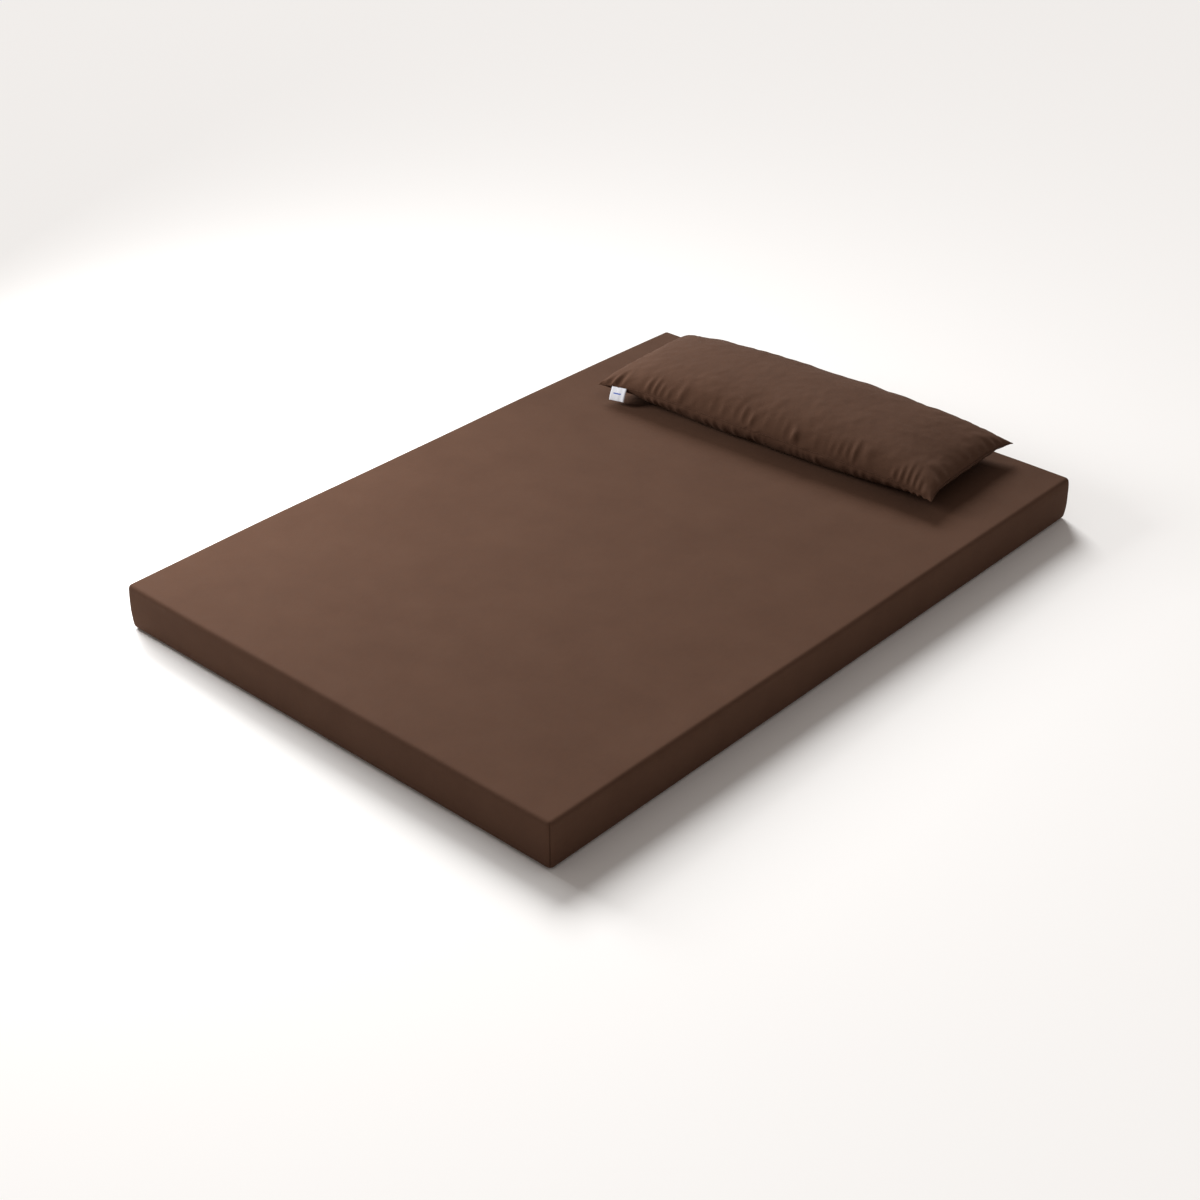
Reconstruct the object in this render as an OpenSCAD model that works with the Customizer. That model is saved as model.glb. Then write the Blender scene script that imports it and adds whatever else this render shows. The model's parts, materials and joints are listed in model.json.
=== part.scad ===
// Futon mattress in a zip-off cover, with a long pillow in the same cloth.
// +X runs across the bed, +Y towards the head and +Z up.
// The origin is the middle of the underside. All sizes are in millimetres.

/* [Mattress] */
// Width of the mattress
mattress_w = 1400; // [1300:10:1700]
// Length of the mattress
mattress_l = 2000; // [1700:10:2400]
// Height of the mattress
mattress_h = 120; // [90:1:160]
// Radius of the cover's upright corners, seen from above
corner_r = 18; // [15:1:22]
// Radius of the cover's upper edge
upper_edge_r = 9; // [8:1:12]
// Radius of the cover's lower edge
lower_edge_r = 14; // [12:1:16]

/* [Layers] */
// Thickness of the wadding over the foam core
upper_wadding_h = 20; // [12:1:25]
// Thickness of the wadding under the foam core
lower_wadding_h = 20; // [12:1:25]
// Radius of the liner's upright corners, seen from above
liner_corner_r = 30; // [28:1:40]
// Free space between the back of the cover's zip and the liner
side_ease = 1.2; // [0.8:0.1:3]

/* [Cloth] */
// Thickness of the cover cloth
cover_t = 1.2; // [0.8:0.1:1.5]
// Thickness of the cover's base cloth
base_t = 1.6; // [1.4:0.1:2]
// Thickness of the liner cloth
liner_t = 0.8; // [0.5:0.1:1]
// Width of the seam allowance that stands in each upright corner
allowance_w = 8; // [6:0.5:9]

/* [Cover zip] */
// Length of the zip across the head side of the cover
cover_zip_l = 1200; // [800:10:1240]
// Height of that zip above the floor, as a share of the mattress height
cover_zip_share = 0.5; // [0.35:0.05:0.65]

/* [Zip chain] */
// Width of each woven tape
tape_w = 11; // [9:0.5:13]
// Width of each tape that shows beside the coils
bare_tape_w = 3.2; // [2.8:0.1:4]
// Length of tape sewn down past each end of the room that the pull tab needs
tape_sewn_l = 6; // [4:1:12]
// Thickness of each woven tape
tape_t = 0.7; // [0.5:0.1:0.8]
// Side of each coil's square section
coil_d = 2.2; // [1.8:0.1:2.4]
// Gap between the two coils, in which the slider's web runs
coil_gap = 1.2; // [1:0.1:1.4]
// Length of an end stop
stop_l = 3; // [2:0.5:4]

/* [Zip slider] */
// Length of the slider along the zip
slider_l = 12; // [10:1:14]
// Thickness of the slider's front and back plates
plate_t = 1.2; // [1:0.1:1.4]
// Width of each folded edge of the slider
flange_w = 1.4; // [1:0.1:1.5]
// Length of the slider's web between its plates
web_l = 4; // [3:0.5:5]
// Free space between the slider and the coils
slider_ease = 0.2; // [0.15:0.05:0.25]
// Free space between the slider's flanges and the tapes
tape_ease = 0.25; // [0.2:0.05:0.3]
// Radius of the pin that the pull tab turns on
pin_r = 0.7; // [0.6:0.05:0.8]
// Radial clearance between that pin and the tab's eye
pin_ease = 0.06; // [0.04:0.01:0.1]
// Outer radius of the tab's eye and of the cheeks beside it
eye_r = 1.5; // [1.3:0.1:1.8]
// Width of the tab's eye
eye_w = 3.8; // [3:0.2:4.4]
// Width of each cheek that holds the pin
lug_w = 0.9; // [0.7:0.1:1]
// Free space round the tab's eye
eye_ease = 0.25; // [0.2:0.05:0.4]
// Length of the pull tab from its pin
pull_l = 24; // [18:1:30]
// Width of the pull tab
pull_w = 6; // [5:0.5:7]
// Thickness of the pull tab
pull_t = 1.2; // [1:0.1:1.4]
// Radius of the hole in the end of the tab
tab_hole_r = 1.4; // [1:0.1:1.6]

/* [Pillow] */
// Length of the pillow between its corners
pillow_l = 1090; // [900:10:1200]
// Width of the pillow between its corners
pillow_w = 416; // [350:2:480]
// Height of the pillow's crown above its seam
crown_h = 70; // [58:1:85]
// Height of the pillow's seam above the mattress
seam_h = 58; // [45:1:70]
// How far the corners of the seam drop below its middle
corner_drop = 15; // [0:1:25]
// How far the long sides draw in between the corners
long_side_dent = 18; // [0:1:25]
// How far the short sides draw in between the corners
short_side_dent = 14; // [0:1:25]
// Sideways place of the pillow's middle
pillow_x = -8; // [-60:1:60]
// Place of the pillow's middle towards the head
pillow_y = 753; // [600:1:780]
// Turn of the pillow, seen from above
pillow_yaw = 3; // [-4:0.5:4]
// Gap between the pillow and the mattress
pillow_gap = 0.3; // [0.2:0.1:0.5]
// Free space between the back of the pillow's zip and its inner bag
bag_ease = 1.5; // [1:0.1:4]
// Thickness of the inner bag's cloth
bag_t = 0.8; // [0.5:0.1:1]
// Width of the pillowcase's seam edge
seam_edge_w = 4; // [3:0.5:6]
// Length of the pillow's zip
pillow_zip_l = 600; // [400:10:640]

/* [Label] */
// Width of the folded label in the pillow's seam
label_w = 44; // [30:1:50]
// Length of label that hangs from the seam
label_l = 36; // [25:1:38]
// Thickness of the folded label
label_t = 1; // [0.8:0.1:1.2]
// Distance from the pillow's corner to the label's middle
label_from_corner = 70; // [50:1:120]
// Slope of the label below the level
label_slope = 68; // [50:1:75]

/* [Hidden] */
$fn = 48;

// Colours of the finishes
cloth_colour = [0.36, 0.24, 0.19];
zip_colour = [0.20, 0.13, 0.10];
lining_colour = [0.92, 0.91, 0.88];
foam_colour = [0.95, 0.92, 0.80];
wadding_colour = [0.97, 0.97, 0.96];
metal_colour = [0.42, 0.33, 0.26];
label_colour = [0.93, 0.94, 0.97];

// Zip: its own frame has X along the zip, Z across it and +Y outwards from the tapes' outer faces
coil_outer = coil_gap / 2 + coil_d;
tape_top = coil_outer + tape_w;
slot_half = coil_outer + bare_tape_w;
slider_half_w = coil_outer + slider_ease + flange_w;
front_plate_y = -tape_t / 2 + coil_d / 2 + slider_ease;
back_plate_y = -tape_t / 2 - coil_d / 2 - slider_ease;
zip_depth = plate_t - back_plate_y;
web_t = coil_gap - 2 * slider_ease;
eye_half_w = eye_w / 2;
pin_y = front_plate_y + plate_t + eye_r + eye_ease;
pin_x = -slider_l / 6;
slider_end_gap = 1;
pull_gap = 1;
pull_room = pull_l - pin_x - slider_l / 2 - slider_end_gap + pull_gap;
tape_end_l = pull_room + tape_sewn_l;

// Levels of the mattress's layers
shell_floor_gap = 0.4;
side_gap = zip_depth + side_ease;
liner_z = base_t;
liner_h = mattress_h - cover_t - liner_z;
liner_w = mattress_w - 2 * (cover_t + side_gap);
liner_l = mattress_l - 2 * (cover_t + side_gap);
liner_upper_r = 6;
liner_lower_r = lower_edge_r - side_gap;
core_z = liner_z + liner_t + lower_wadding_h;
core_h = liner_h - 2 * liner_t - lower_wadding_h - upper_wadding_h;
layer_w = liner_w - 2 * liner_t;
layer_l = liner_l - 2 * liner_t;
layer_corner_r = liner_corner_r - liner_t;

cover_zip_z = mattress_h * cover_zip_share;
seam_end_gap = 4;
cut = 1;

// Pillow: its own frame has its origin on the mattress, under the pillow's middle
pillow_a = pillow_l / 2;
pillow_b = pillow_w / 2;
case_t = cover_t;
seam_half_t = case_t;
cells_u = 24;
cells_v = 12;
row = cells_u + 1;
skin_count = row * (cells_v + 1);
back_y = pillow_b - long_side_dent;
first_v = cos(180 / cells_v);
tape_end_u = (pillow_zip_l / 2 + tape_end_l) / (pillow_a - short_side_dent);
first_h = crown_h * fullness(first_v) * fullness(tape_end_u);
skin_inset = back_y * (1 - first_v) * (tape_top - seam_half_t) / first_h;
tape_gap = 0.5;
pillow_zip_inset = case_t + skin_inset + tape_gap;
layer_gap = 0.4;
base_depth = seam_h - pillow_gap - seam_half_t;
bag_inset = pillow_zip_inset + zip_depth + bag_ease;
bag_crown_h = crown_h - case_t;
bag_base_h = seam_h - pillow_gap - case_t - layer_gap;

// ---- Shared shapes ----

module rounded_rectangle(w, l, r) {
    square([w - 2 * r, l], center = true);
    square([w, l - 2 * r], center = true);
    for (x = [-1, 1], y = [-1, 1])
        translate([x * (w / 2 - r), y * (l / 2 - r)]) circle(r);
}

// An upright outline, centred on X, with its own radius at the top and at the foot
module edge_profile(w, h, upper_r, lower_r) {
    translate([-w / 2, lower_r]) square([w, h - lower_r - upper_r]);
    for (edge = [[lower_r, lower_r], [upper_r, h - upper_r]])
        if (edge[0] > 0) {
            translate([-w / 2 + edge[0], edge[1] - edge[0]]) square([w - 2 * edge[0], 2 * edge[0]]);
            for (side = [-1, 1])
                translate([side * (w / 2 - edge[0]), edge[1]]) circle(edge[0]);
        }
}

module rounded_block(w, l, h, plan_r, upper_r, lower_r) {
    intersection() {
        linear_extrude(h) rounded_rectangle(w, l, plan_r);
        rotate([90, 0, 0]) linear_extrude(l + cut, center = true) edge_profile(w, h, upper_r, lower_r);
        rotate([90, 0, 90]) linear_extrude(w + cut, center = true) edge_profile(l, h, upper_r, lower_r);
    }
}

// ---- Mattress cover ----

module cover_shell() {
    shell_h = mattress_h - shell_floor_gap;
    color(cloth_colour) difference() {
        translate([0, 0, shell_floor_gap])
            rounded_block(mattress_w, mattress_l, shell_h, corner_r, upper_edge_r, lower_edge_r);
        translate([0, 0, shell_floor_gap + cover_t])
            rounded_block(mattress_w - 2 * cover_t, mattress_l - 2 * cover_t, shell_h - 2 * cover_t,
                corner_r - cover_t, upper_edge_r - cover_t, lower_edge_r - cover_t);
        linear_extrude(shell_floor_gap + cover_t + cut) base_outline();
        at_cover_zip() zip_slot(cover_zip_l + 2 * stop_l, 2 * cover_t);
    }
}

module base_outline() {
    rounded_rectangle(mattress_w - 2 * lower_edge_r, mattress_l - 2 * lower_edge_r, corner_r / 2);
}

module cover_base() {
    color(cloth_colour) linear_extrude(base_t) base_outline();
}

// The two turned-in edges of cloth that stand inside one upright corner
module corner_seam(x_side, y_side) {
    seam_z = shell_floor_gap + lower_edge_r + seam_end_gap;
    seam_top = mattress_h - upper_edge_r - seam_end_gap;
    middle = [x_side * (mattress_w / 2 - corner_r), y_side * (mattress_l / 2 - corner_r), seam_z];
    color(cloth_colour) translate(middle) rotate([0, 0, atan2(y_side, x_side)])
        linear_extrude(seam_top - seam_z) intersection() {
            circle(corner_r - cover_t);
            translate([corner_r - cover_t - allowance_w, -cover_t]) square([allowance_w, 2 * cover_t]);
        }
}

// ---- Mattress filling ----

// One of the liner's two trays, which meet at mid height
module liner_half(low_z) {
    color(lining_colour) difference() {
        intersection() {
            translate([0, 0, liner_z])
                rounded_block(liner_w, liner_l, liner_h, liner_corner_r, liner_upper_r, liner_lower_r);
            translate([0, 0, low_z]) linear_extrude(liner_h / 2)
                square([liner_w + cut, liner_l + cut], center = true);
        }
        translate([0, 0, liner_z + liner_t])
            rounded_block(layer_w, layer_l, liner_h - 2 * liner_t, layer_corner_r,
                liner_upper_r - liner_t, liner_lower_r - liner_t);
    }
}

module liner_top() {
    liner_half(liner_z + liner_h / 2);
}

module liner_base() {
    liner_half(liner_z);
}

module upper_wadding() {
    color(wadding_colour) translate([0, 0, core_z + core_h])
        rounded_block(layer_w, layer_l, upper_wadding_h, layer_corner_r, liner_upper_r - liner_t, 0);
}

module foam_core() {
    color(foam_colour) translate([0, 0, core_z]) linear_extrude(core_h)
        rounded_rectangle(layer_w, layer_l, layer_corner_r);
}

module lower_wadding() {
    color(wadding_colour) translate([0, 0, liner_z + liner_t])
        rounded_block(layer_w, layer_l, lower_wadding_h, layer_corner_r, 0, liner_lower_r - liner_t);
}

// ---- Zips ----

// An opening for a zip in a cloth that lies within depth of its tapes
module zip_slot(slot_l, depth) {
    rotate([90, 0, 0]) linear_extrude(2 * depth, center = true)
        square([slot_l, 2 * slot_half], center = true);
}

module zip_tape(zip_l, side) {
    color(zip_colour) translate([-zip_l / 2 - tape_end_l, -tape_t, (side > 0) ? coil_outer : -tape_top])
        cube([zip_l + 2 * tape_end_l, tape_t, tape_w]);
}

module zip_coil(zip_l, side) {
    color(zip_colour)
        translate([-zip_l / 2, -tape_t / 2 - coil_d / 2, (side > 0) ? coil_gap / 2 : -coil_outer])
            cube([zip_l, coil_d, coil_d]);
}

module zip_stops(zip_l) {
    color(metal_colour) for (side = [-1, 1])
        translate([side * (zip_l + stop_l) / 2, -tape_t / 2, 0])
            cube([stop_l, coil_d, 2 * coil_outer], center = true);
}

// Two plates joined by a web that runs between the coils, with the pull tab's pin on the front one
module zip_slider() {
    color(metal_colour) {
        for (plate_y = [front_plate_y, back_plate_y - plate_t])
            translate([-slider_l / 2, plate_y, -slider_half_w])
                cube([slider_l, plate_t, 2 * slider_half_w]);
        for (side = [-1, 1]) {
            slider_flange(side);
            slider_lug(side);
        }
        translate([-slider_l / 2, back_plate_y, -web_t / 2])
            cube([web_l, front_plate_y - back_plate_y, web_t]);
        translate([pin_x, pin_y, 0])
            cylinder(h = 2 * (eye_half_w + eye_ease) + lug_w, r = pin_r, center = true);
    }
}

// The folded edges of both plates along one side, which stop short of the tape between them
module slider_flange(side) {
    flange_z = (side > 0) ? slider_half_w - flange_w : -slider_half_w;
    translate([-slider_l / 2, tape_ease, flange_z])
        cube([slider_l, front_plate_y - tape_ease, flange_w]);
    translate([-slider_l / 2, back_plate_y, flange_z])
        cube([slider_l, -tape_t - tape_ease - back_plate_y, flange_w]);
}

// One of the two cheeks that hold the pull tab's pin
module slider_lug(side) {
    lug_z = (side > 0) ? eye_half_w + eye_ease : -eye_half_w - eye_ease - lug_w;
    root_y = front_plate_y + plate_t / 2;
    translate([pin_x, pin_y, lug_z]) cylinder(h = lug_w, r = eye_r);
    translate([pin_x - eye_r, root_y, lug_z]) cube([2 * eye_r, pin_y - root_y, lug_w]);
}

module zip_pull() {
    neck_l = pull_l / 3;
    blade_x = pull_l / 4;
    tip_x = pull_l - pull_w / 2;
    color(metal_colour) translate([pin_x, pin_y, 0]) difference() {
        union() {
            cylinder(h = eye_w, r = eye_r, center = true);
            translate([0, -pull_t / 2, -eye_half_w]) cube([neck_l, pull_t, eye_w]);
            translate([blade_x, -pull_t / 2, -pull_w / 2]) cube([tip_x - blade_x, pull_t, pull_w]);
            translate([tip_x, 0, 0]) rotate([90, 0, 0])
                cylinder(h = pull_t, r = pull_w / 2, center = true);
        }
        cylinder(h = eye_w + cut, r = pin_r + pin_ease, center = true);
        translate([tip_x, 0, 0]) rotate([90, 0, 0])
            cylinder(h = pull_t + cut, r = tab_hole_r, center = true);
    }
}

// Puts a zip part behind the head wall of the mattress cover
module at_cover_zip() {
    translate([0, mattress_l / 2 - cover_t, cover_zip_z]) children();
}

// Puts a zip part in the back seam of the pillow
module at_pillow_zip() {
    at_pillow() translate([0, back_y - pillow_zip_inset, seam_h]) children();
}

// A slider rests at the left end of its zip, where the zip is closed
module at_closed_end(zip_l) {
    translate([-zip_l / 2 + slider_l / 2 + slider_end_gap, 0, 0]) children();
}

// ---- Pillow ----

module at_pillow() {
    translate([pillow_x, pillow_y, mattress_h]) rotate([0, 0, pillow_yaw]) children();
}

// Fullness of the pillow across one direction: 1 in the middle and 0 at the seam
function fullness(t) = pow(max(0, 1 - pow(abs(t), 2.6)), 0.5);

// Grid positions from -1 to 1, closer together near the seams
function grid(cells) = [for (i = [0 : cells]) -cos(180 * i / cells)];

// A point of the seam surface at (u, v), drawn in by inset from the pillowcase's outline
function seam_point(u, v, inset) = [
    u * (pillow_a - inset - short_side_dent * (1 - pow(v, 4))),
    v * (pillow_b - inset - long_side_dent * (1 - pow(u, 8))),
    seam_h - corner_drop * pow(u, 6) * pow(v, 4)
];

// Height of the crown over the seam surface
function crown_offset(u, v, height) = height * fullness(u) * fullness(v);

// Depth of the underside below the seam surface, level where it lies on the mattress
function base_offset(u, v, height) =
    -min(height - corner_drop * pow(u, 6) * pow(v, 4), 1.5 * height * fullness(u) * fullness(v));

function skin_points(inset, height, side, lift) = [
    for (v = grid(cells_v)) for (u = grid(cells_u))
        let (offset = (side > 0) ? crown_offset(u, v, height) : base_offset(u, v, height))
            seam_point(u, v, inset) + [0, 0, lift + offset]
];

function two_triangles(a, b, c, d) = [[a, b, c], [a, c, d]];

// Faces of one grid whose first point has the index start. Each cell's diagonal points to the
// grid's nearest corner, so that no triangle has all three points on the rim.
function grid_faces(start, upward) = [
    for (j = [0 : cells_v - 1]) for (i = [0 : cells_u - 1])
        let (a = start + j * row + i, b = a + 1, c = a + row + 1, d = a + row,
            straight = (i < cells_u / 2) == (j < cells_v / 2))
            each upward ? (straight ? two_triangles(a, d, c, b) : two_triangles(d, c, b, a))
                : (straight ? two_triangles(a, b, c, d) : two_triangles(b, c, d, a))
];

// Indices round the rim of a grid, anticlockwise seen from above
rim = concat(
    [for (i = [0 : cells_u - 1]) i],
    [for (j = [0 : cells_v - 1]) j * row + cells_u],
    [for (i = [cells_u : -1 : 1]) cells_v * row + i],
    [for (j = [cells_v : -1 : 1]) j * row]
);

function rim_faces(upward) = [
    for (k = [0 : len(rim) - 1])
        let (a = rim[k], b = rim[(k + 1) % len(rim)], c = b + skin_count, d = a + skin_count)
            each upward ? two_triangles(a, b, c, d) : two_triangles(a, d, c, b)
];

// A half of the pillow's skin, with its crown up or its base down
module half_skin(inset, height, thickness, side, lift) {
    upward = side > 0;
    polyhedron(
        concat(skin_points(inset, height, side, lift),
            skin_points(inset + thickness, height - thickness, side, lift)),
        concat(grid_faces(0, upward), grid_faces(skin_count, !upward), rim_faces(upward))
    );
}

module full_shape(inset, crown_height, base_height) {
    polyhedron(
        concat(skin_points(inset, crown_height, 1, 0), skin_points(inset, base_height, -1, 0)),
        concat(grid_faces(0, true), grid_faces(skin_count, false))
    );
}

// The slot in the back of the case, long enough for the pull tab to turn at either end
module pillow_zip_opening() {
    at_pillow() translate([0, back_y, seam_h])
        zip_slot(pillow_zip_l + 2 * pull_room, pillow_zip_inset + seam_edge_w);
}

module pillowcase_top() {
    color(cloth_colour) difference() {
        at_pillow() half_skin(0, crown_h, case_t, 1, seam_half_t);
        pillow_zip_opening();
    }
}

module pillowcase_base() {
    color(cloth_colour) difference() {
        at_pillow() half_skin(0, base_depth, case_t, -1, -seam_half_t);
        pillow_zip_opening();
    }
}

// The sewn edge all round the pillowcase, left out where the zip is
module pillowcase_seam() {
    us = grid(cells_u);
    vs = grid(cells_v);
    outline = concat(
        [for (i = [0 : cells_u - 1]) [us[i], -1]], [for (j = [0 : cells_v - 1]) [1, vs[j]]],
        [for (i = [0 : cells_u - 1]) [-us[i], 1]], [for (j = [0 : cells_v - 1]) [-1, -vs[j]]]
    );
    count = len(outline);
    section = [[-seam_edge_w, -1], [case_t, -1], [case_t, 1], [-seam_edge_w, 1]];
    points = [for (corner = section) for (p = outline)
        seam_point(p[0], p[1], corner[0]) + [0, 0, corner[1] * seam_half_t]];
    faces = [for (side = [0 : 3]) for (k = [0 : count - 1])
        let (next = (k + 1) % count, a = side * count, b = ((side + 1) % 4) * count)
            each two_triangles(a + k, a + next, b + next, b + k)];
    color(cloth_colour) difference() {
        at_pillow() polyhedron(points, faces);
        pillow_zip_opening();
    }
}

module pillow_bag_top() {
    color(lining_colour) at_pillow() half_skin(bag_inset, bag_crown_h, bag_t, 1, 0);
}

module pillow_bag_base() {
    color(lining_colour) at_pillow() half_skin(bag_inset, bag_base_h, bag_t, -1, 0);
}

module pillow_filling() {
    filling_inset = bag_inset + bag_t + layer_gap;
    color(wadding_colour) at_pillow()
        full_shape(filling_inset, bag_crown_h - bag_t - layer_gap, bag_base_h - bag_t - layer_gap);
}

// A woven ribbon folded in two and hung from the underside of the front seam, near the left corner
module pillow_label() {
    label_u = -1 + label_from_corner / pillow_a;
    half_u = label_w / 2 / pillow_a;
    left = seam_point(label_u - half_u, -1, -seam_edge_w);
    right = seam_point(label_u + half_u, -1, -seam_edge_w);
    along = right - left;
    drop = seam_half_t + label_t / 2 + tape_gap;
    color(label_colour) at_pillow() translate((left + right) / 2 - [0, 0, drop])
        rotate([0, -atan2(along[2], along[0]), atan2(along[1], along[0])]) rotate([90, 0, 90])
            linear_extrude(label_w, center = true) {
                translate([0, -label_t / 2]) square([seam_edge_w - layer_gap, label_t]);
                circle(label_t / 2);
                rotate(180 + label_slope) translate([0, -label_t / 2]) square([label_l, label_t]);
            }
}

// ---- Assembly ----

cover_shell();
cover_base();
corner_seam(-1, -1);  // corner_seam_foot_left
corner_seam(1, -1);  // corner_seam_foot_right
corner_seam(-1, 1);  // corner_seam_head_left
corner_seam(1, 1);  // corner_seam_head_right
at_cover_zip() zip_tape(cover_zip_l, 1);  // cover_zip_tape_upper
at_cover_zip() zip_tape(cover_zip_l, -1);  // cover_zip_tape_lower
at_cover_zip() zip_coil(cover_zip_l, 1);  // cover_zip_coil_upper
at_cover_zip() zip_coil(cover_zip_l, -1);  // cover_zip_coil_lower
at_cover_zip() zip_stops(cover_zip_l);  // cover_zip_stops
at_cover_zip() at_closed_end(cover_zip_l) zip_slider();  // cover_zip_slider
at_cover_zip() at_closed_end(cover_zip_l) zip_pull();  // cover_zip_pull
liner_top();
liner_base();
upper_wadding();
foam_core();
lower_wadding();
pillowcase_top();
pillowcase_base();
pillowcase_seam();
pillow_bag_top();
pillow_bag_base();
pillow_filling();
at_pillow_zip() zip_tape(pillow_zip_l, 1);  // pillow_zip_tape_upper
at_pillow_zip() zip_tape(pillow_zip_l, -1);  // pillow_zip_tape_lower
at_pillow_zip() zip_coil(pillow_zip_l, 1);  // pillow_zip_coil_upper
at_pillow_zip() zip_coil(pillow_zip_l, -1);  // pillow_zip_coil_lower
at_pillow_zip() zip_stops(pillow_zip_l);  // pillow_zip_stops
at_pillow_zip() at_closed_end(pillow_zip_l) zip_slider();  // pillow_zip_slider
at_pillow_zip() at_closed_end(pillow_zip_l) zip_pull();  // pillow_zip_pull
pillow_label();
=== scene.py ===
import json
import math

import bpy
import numpy as np
from mathutils import Matrix, Vector, noise
from mathutils.bvhtree import BVHTree


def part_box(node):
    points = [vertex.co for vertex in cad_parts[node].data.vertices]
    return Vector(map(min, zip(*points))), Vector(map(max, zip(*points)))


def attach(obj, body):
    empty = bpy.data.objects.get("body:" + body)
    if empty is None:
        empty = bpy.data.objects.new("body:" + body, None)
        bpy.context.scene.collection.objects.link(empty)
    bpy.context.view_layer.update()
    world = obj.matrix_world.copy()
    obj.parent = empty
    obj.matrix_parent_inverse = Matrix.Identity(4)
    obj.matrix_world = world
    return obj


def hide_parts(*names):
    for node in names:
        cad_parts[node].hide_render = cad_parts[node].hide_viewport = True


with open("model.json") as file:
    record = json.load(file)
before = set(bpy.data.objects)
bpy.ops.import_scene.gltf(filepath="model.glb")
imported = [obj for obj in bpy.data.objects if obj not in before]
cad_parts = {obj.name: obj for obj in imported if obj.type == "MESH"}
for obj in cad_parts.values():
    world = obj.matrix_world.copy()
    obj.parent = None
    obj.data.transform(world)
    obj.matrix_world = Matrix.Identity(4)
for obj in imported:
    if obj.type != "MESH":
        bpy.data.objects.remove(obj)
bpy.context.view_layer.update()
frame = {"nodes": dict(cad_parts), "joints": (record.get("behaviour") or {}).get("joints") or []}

scene = bpy.context.scene
mm = 0.001


def smooth(edge0, edge1, value):
    t = min(1.0, max(0.0, (value - edge0) / (edge1 - edge0)))
    return t * t * (3 - 2 * t)


def wave(x, y, seed):
    return noise.noise(Vector((x, y, seed)))


def makeObject(name, vertices, faces, uvs=None):
    mesh = bpy.data.meshes.new(name)
    mesh.from_pydata([tuple(v) for v in vertices], [], [tuple(f) for f in faces])
    mesh.update()
    if uvs is not None:
        layer = mesh.uv_layers.new(name="cloth")
        loopVertex = np.empty(len(mesh.loops), dtype=np.int32)
        mesh.loops.foreach_get("vertex_index", loopVertex)
        layer.data.foreach_set("uv", np.asarray(uvs, dtype=np.float32)[loopVertex].ravel())
    mesh.polygons.foreach_set("use_smooth", [True] * len(mesh.polygons))
    obj = bpy.data.objects.new(name, mesh)
    scene.collection.objects.link(obj)
    return obj


def makeRectangle(name, halfX, halfY, height):
    corners = [(-halfX, -halfY), (halfX, -halfY), (halfX, halfY), (-halfX, halfY)]
    return makeObject(name, [(x, y, height) for x, y in corners], [(0, 1, 2, 3)])


def stripFaces(strips, width):
    # the faces between rows of points that follow one another, width points in each
    starts = [strip * width + k for strip in range(strips) for k in range(width - 1)]
    return [(a, a + 1, a + width + 1, a + width) for a in starts]


def applyModifiers(obj):
    depsgraph = bpy.context.evaluated_depsgraph_get()
    evaluated = obj.evaluated_get(depsgraph)
    mesh = bpy.data.meshes.new_from_object(evaluated, preserve_all_data_layers=True, depsgraph=depsgraph)
    obj.modifiers.clear()
    oldMesh = obj.data
    obj.data = mesh
    bpy.data.meshes.remove(oldMesh)


def thicken(obj, thickness):
    # cloth with two faces, grown inwards from the outer one
    solidify = obj.modifiers.new("thickness", "SOLIDIFY")
    solidify.thickness = thickness
    solidify.offset = -1
    applyModifiers(obj)


def dress(obj, material, body, slot, *nodes):
    # a finished piece's material, its body, its slot and the CAD nodes it stands for; the slot is not used
    obj.data.materials.clear()
    obj.data.materials.append(material)
    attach(obj, body)
    if nodes:
        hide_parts(*nodes)


def paint(material, *nodes):
    # a better material on CAD nodes
    for name in nodes:
        data = frame["nodes"][name].data
        data.materials.clear()
        data.materials.append(material)


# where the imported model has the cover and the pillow
shellLow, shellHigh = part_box("cover_shell")
mattressTop = shellHigh.z
fillingLow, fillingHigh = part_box("pillow_filling")
slideAxis = next(Vector(joint["axis"]) for joint in frame["joints"] if joint["name"] == "pillow_zip_slide")
pillowYaw = math.atan2(slideAxis.y, slideAxis.x)
pillowCentre = (fillingLow + fillingHigh) / 2
pillowSpot = Vector((pillowCentre.x, pillowCentre.y, mattressTop))
pillowPlace = Matrix.Translation(pillowSpot) @ Matrix.Rotation(pillowYaw, 4, "Z")
mattressPlace = Matrix.Identity(4)


def localBox(node, place):
    # a CAD node's lowest and highest corners along the axes of place
    toPlace = place.inverted()
    corners = np.array([toPlace @ vertex.co for vertex in frame["nodes"][node].data.vertices])
    return Vector(corners.min(axis=0)), Vector(corners.max(axis=0))


cameraView = {
    "target": (0.126, -0.2135, 0.06),
    "azimuth": 42.1,
    "elevation": 31.6,
    "distance": 4.99,
    "lens": 61.47,
    "sensor": 36.0,
}


def makeCamera(view):
    azimuth = math.radians(view["azimuth"])
    elevation = math.radians(view["elevation"])
    back = Vector((
        math.sin(azimuth) * math.cos(elevation),
        -math.cos(azimuth) * math.cos(elevation),
        math.sin(elevation),
    ))
    data = bpy.data.cameras.new("camera")
    data.sensor_width = view["sensor"]
    data.lens = view["lens"]
    camera = bpy.data.objects.new("camera", data)
    camera.location = Vector(view["target"]) + back * view["distance"]
    camera.rotation_mode = "QUATERNION"
    camera.rotation_quaternion = (-back).to_track_quat("-Z", "Y")
    scene.collection.objects.link(camera)
    scene.camera = camera


makeCamera(cameraView)
print("camera made")

studio = {
    "floorSize": 60.0,
    "floorColour": (0.97, 0.965, 0.955, 1),
    "floorRoughness": 0.9,
    "worldColour": (1.0, 0.915, 0.86, 1),
    "worldStrength": 0.3,
    "lamps": [
        {"name": "skylight", "kind": "SUN", "place": (-3.2, 2.3, 2.9), "spread": 24, "power": 3.0},
        {"name": "softbox", "kind": "AREA", "place": (-1.8, -0.75, 1.2), "spread": 0.9, "power": 46},
    ],
}


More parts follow.
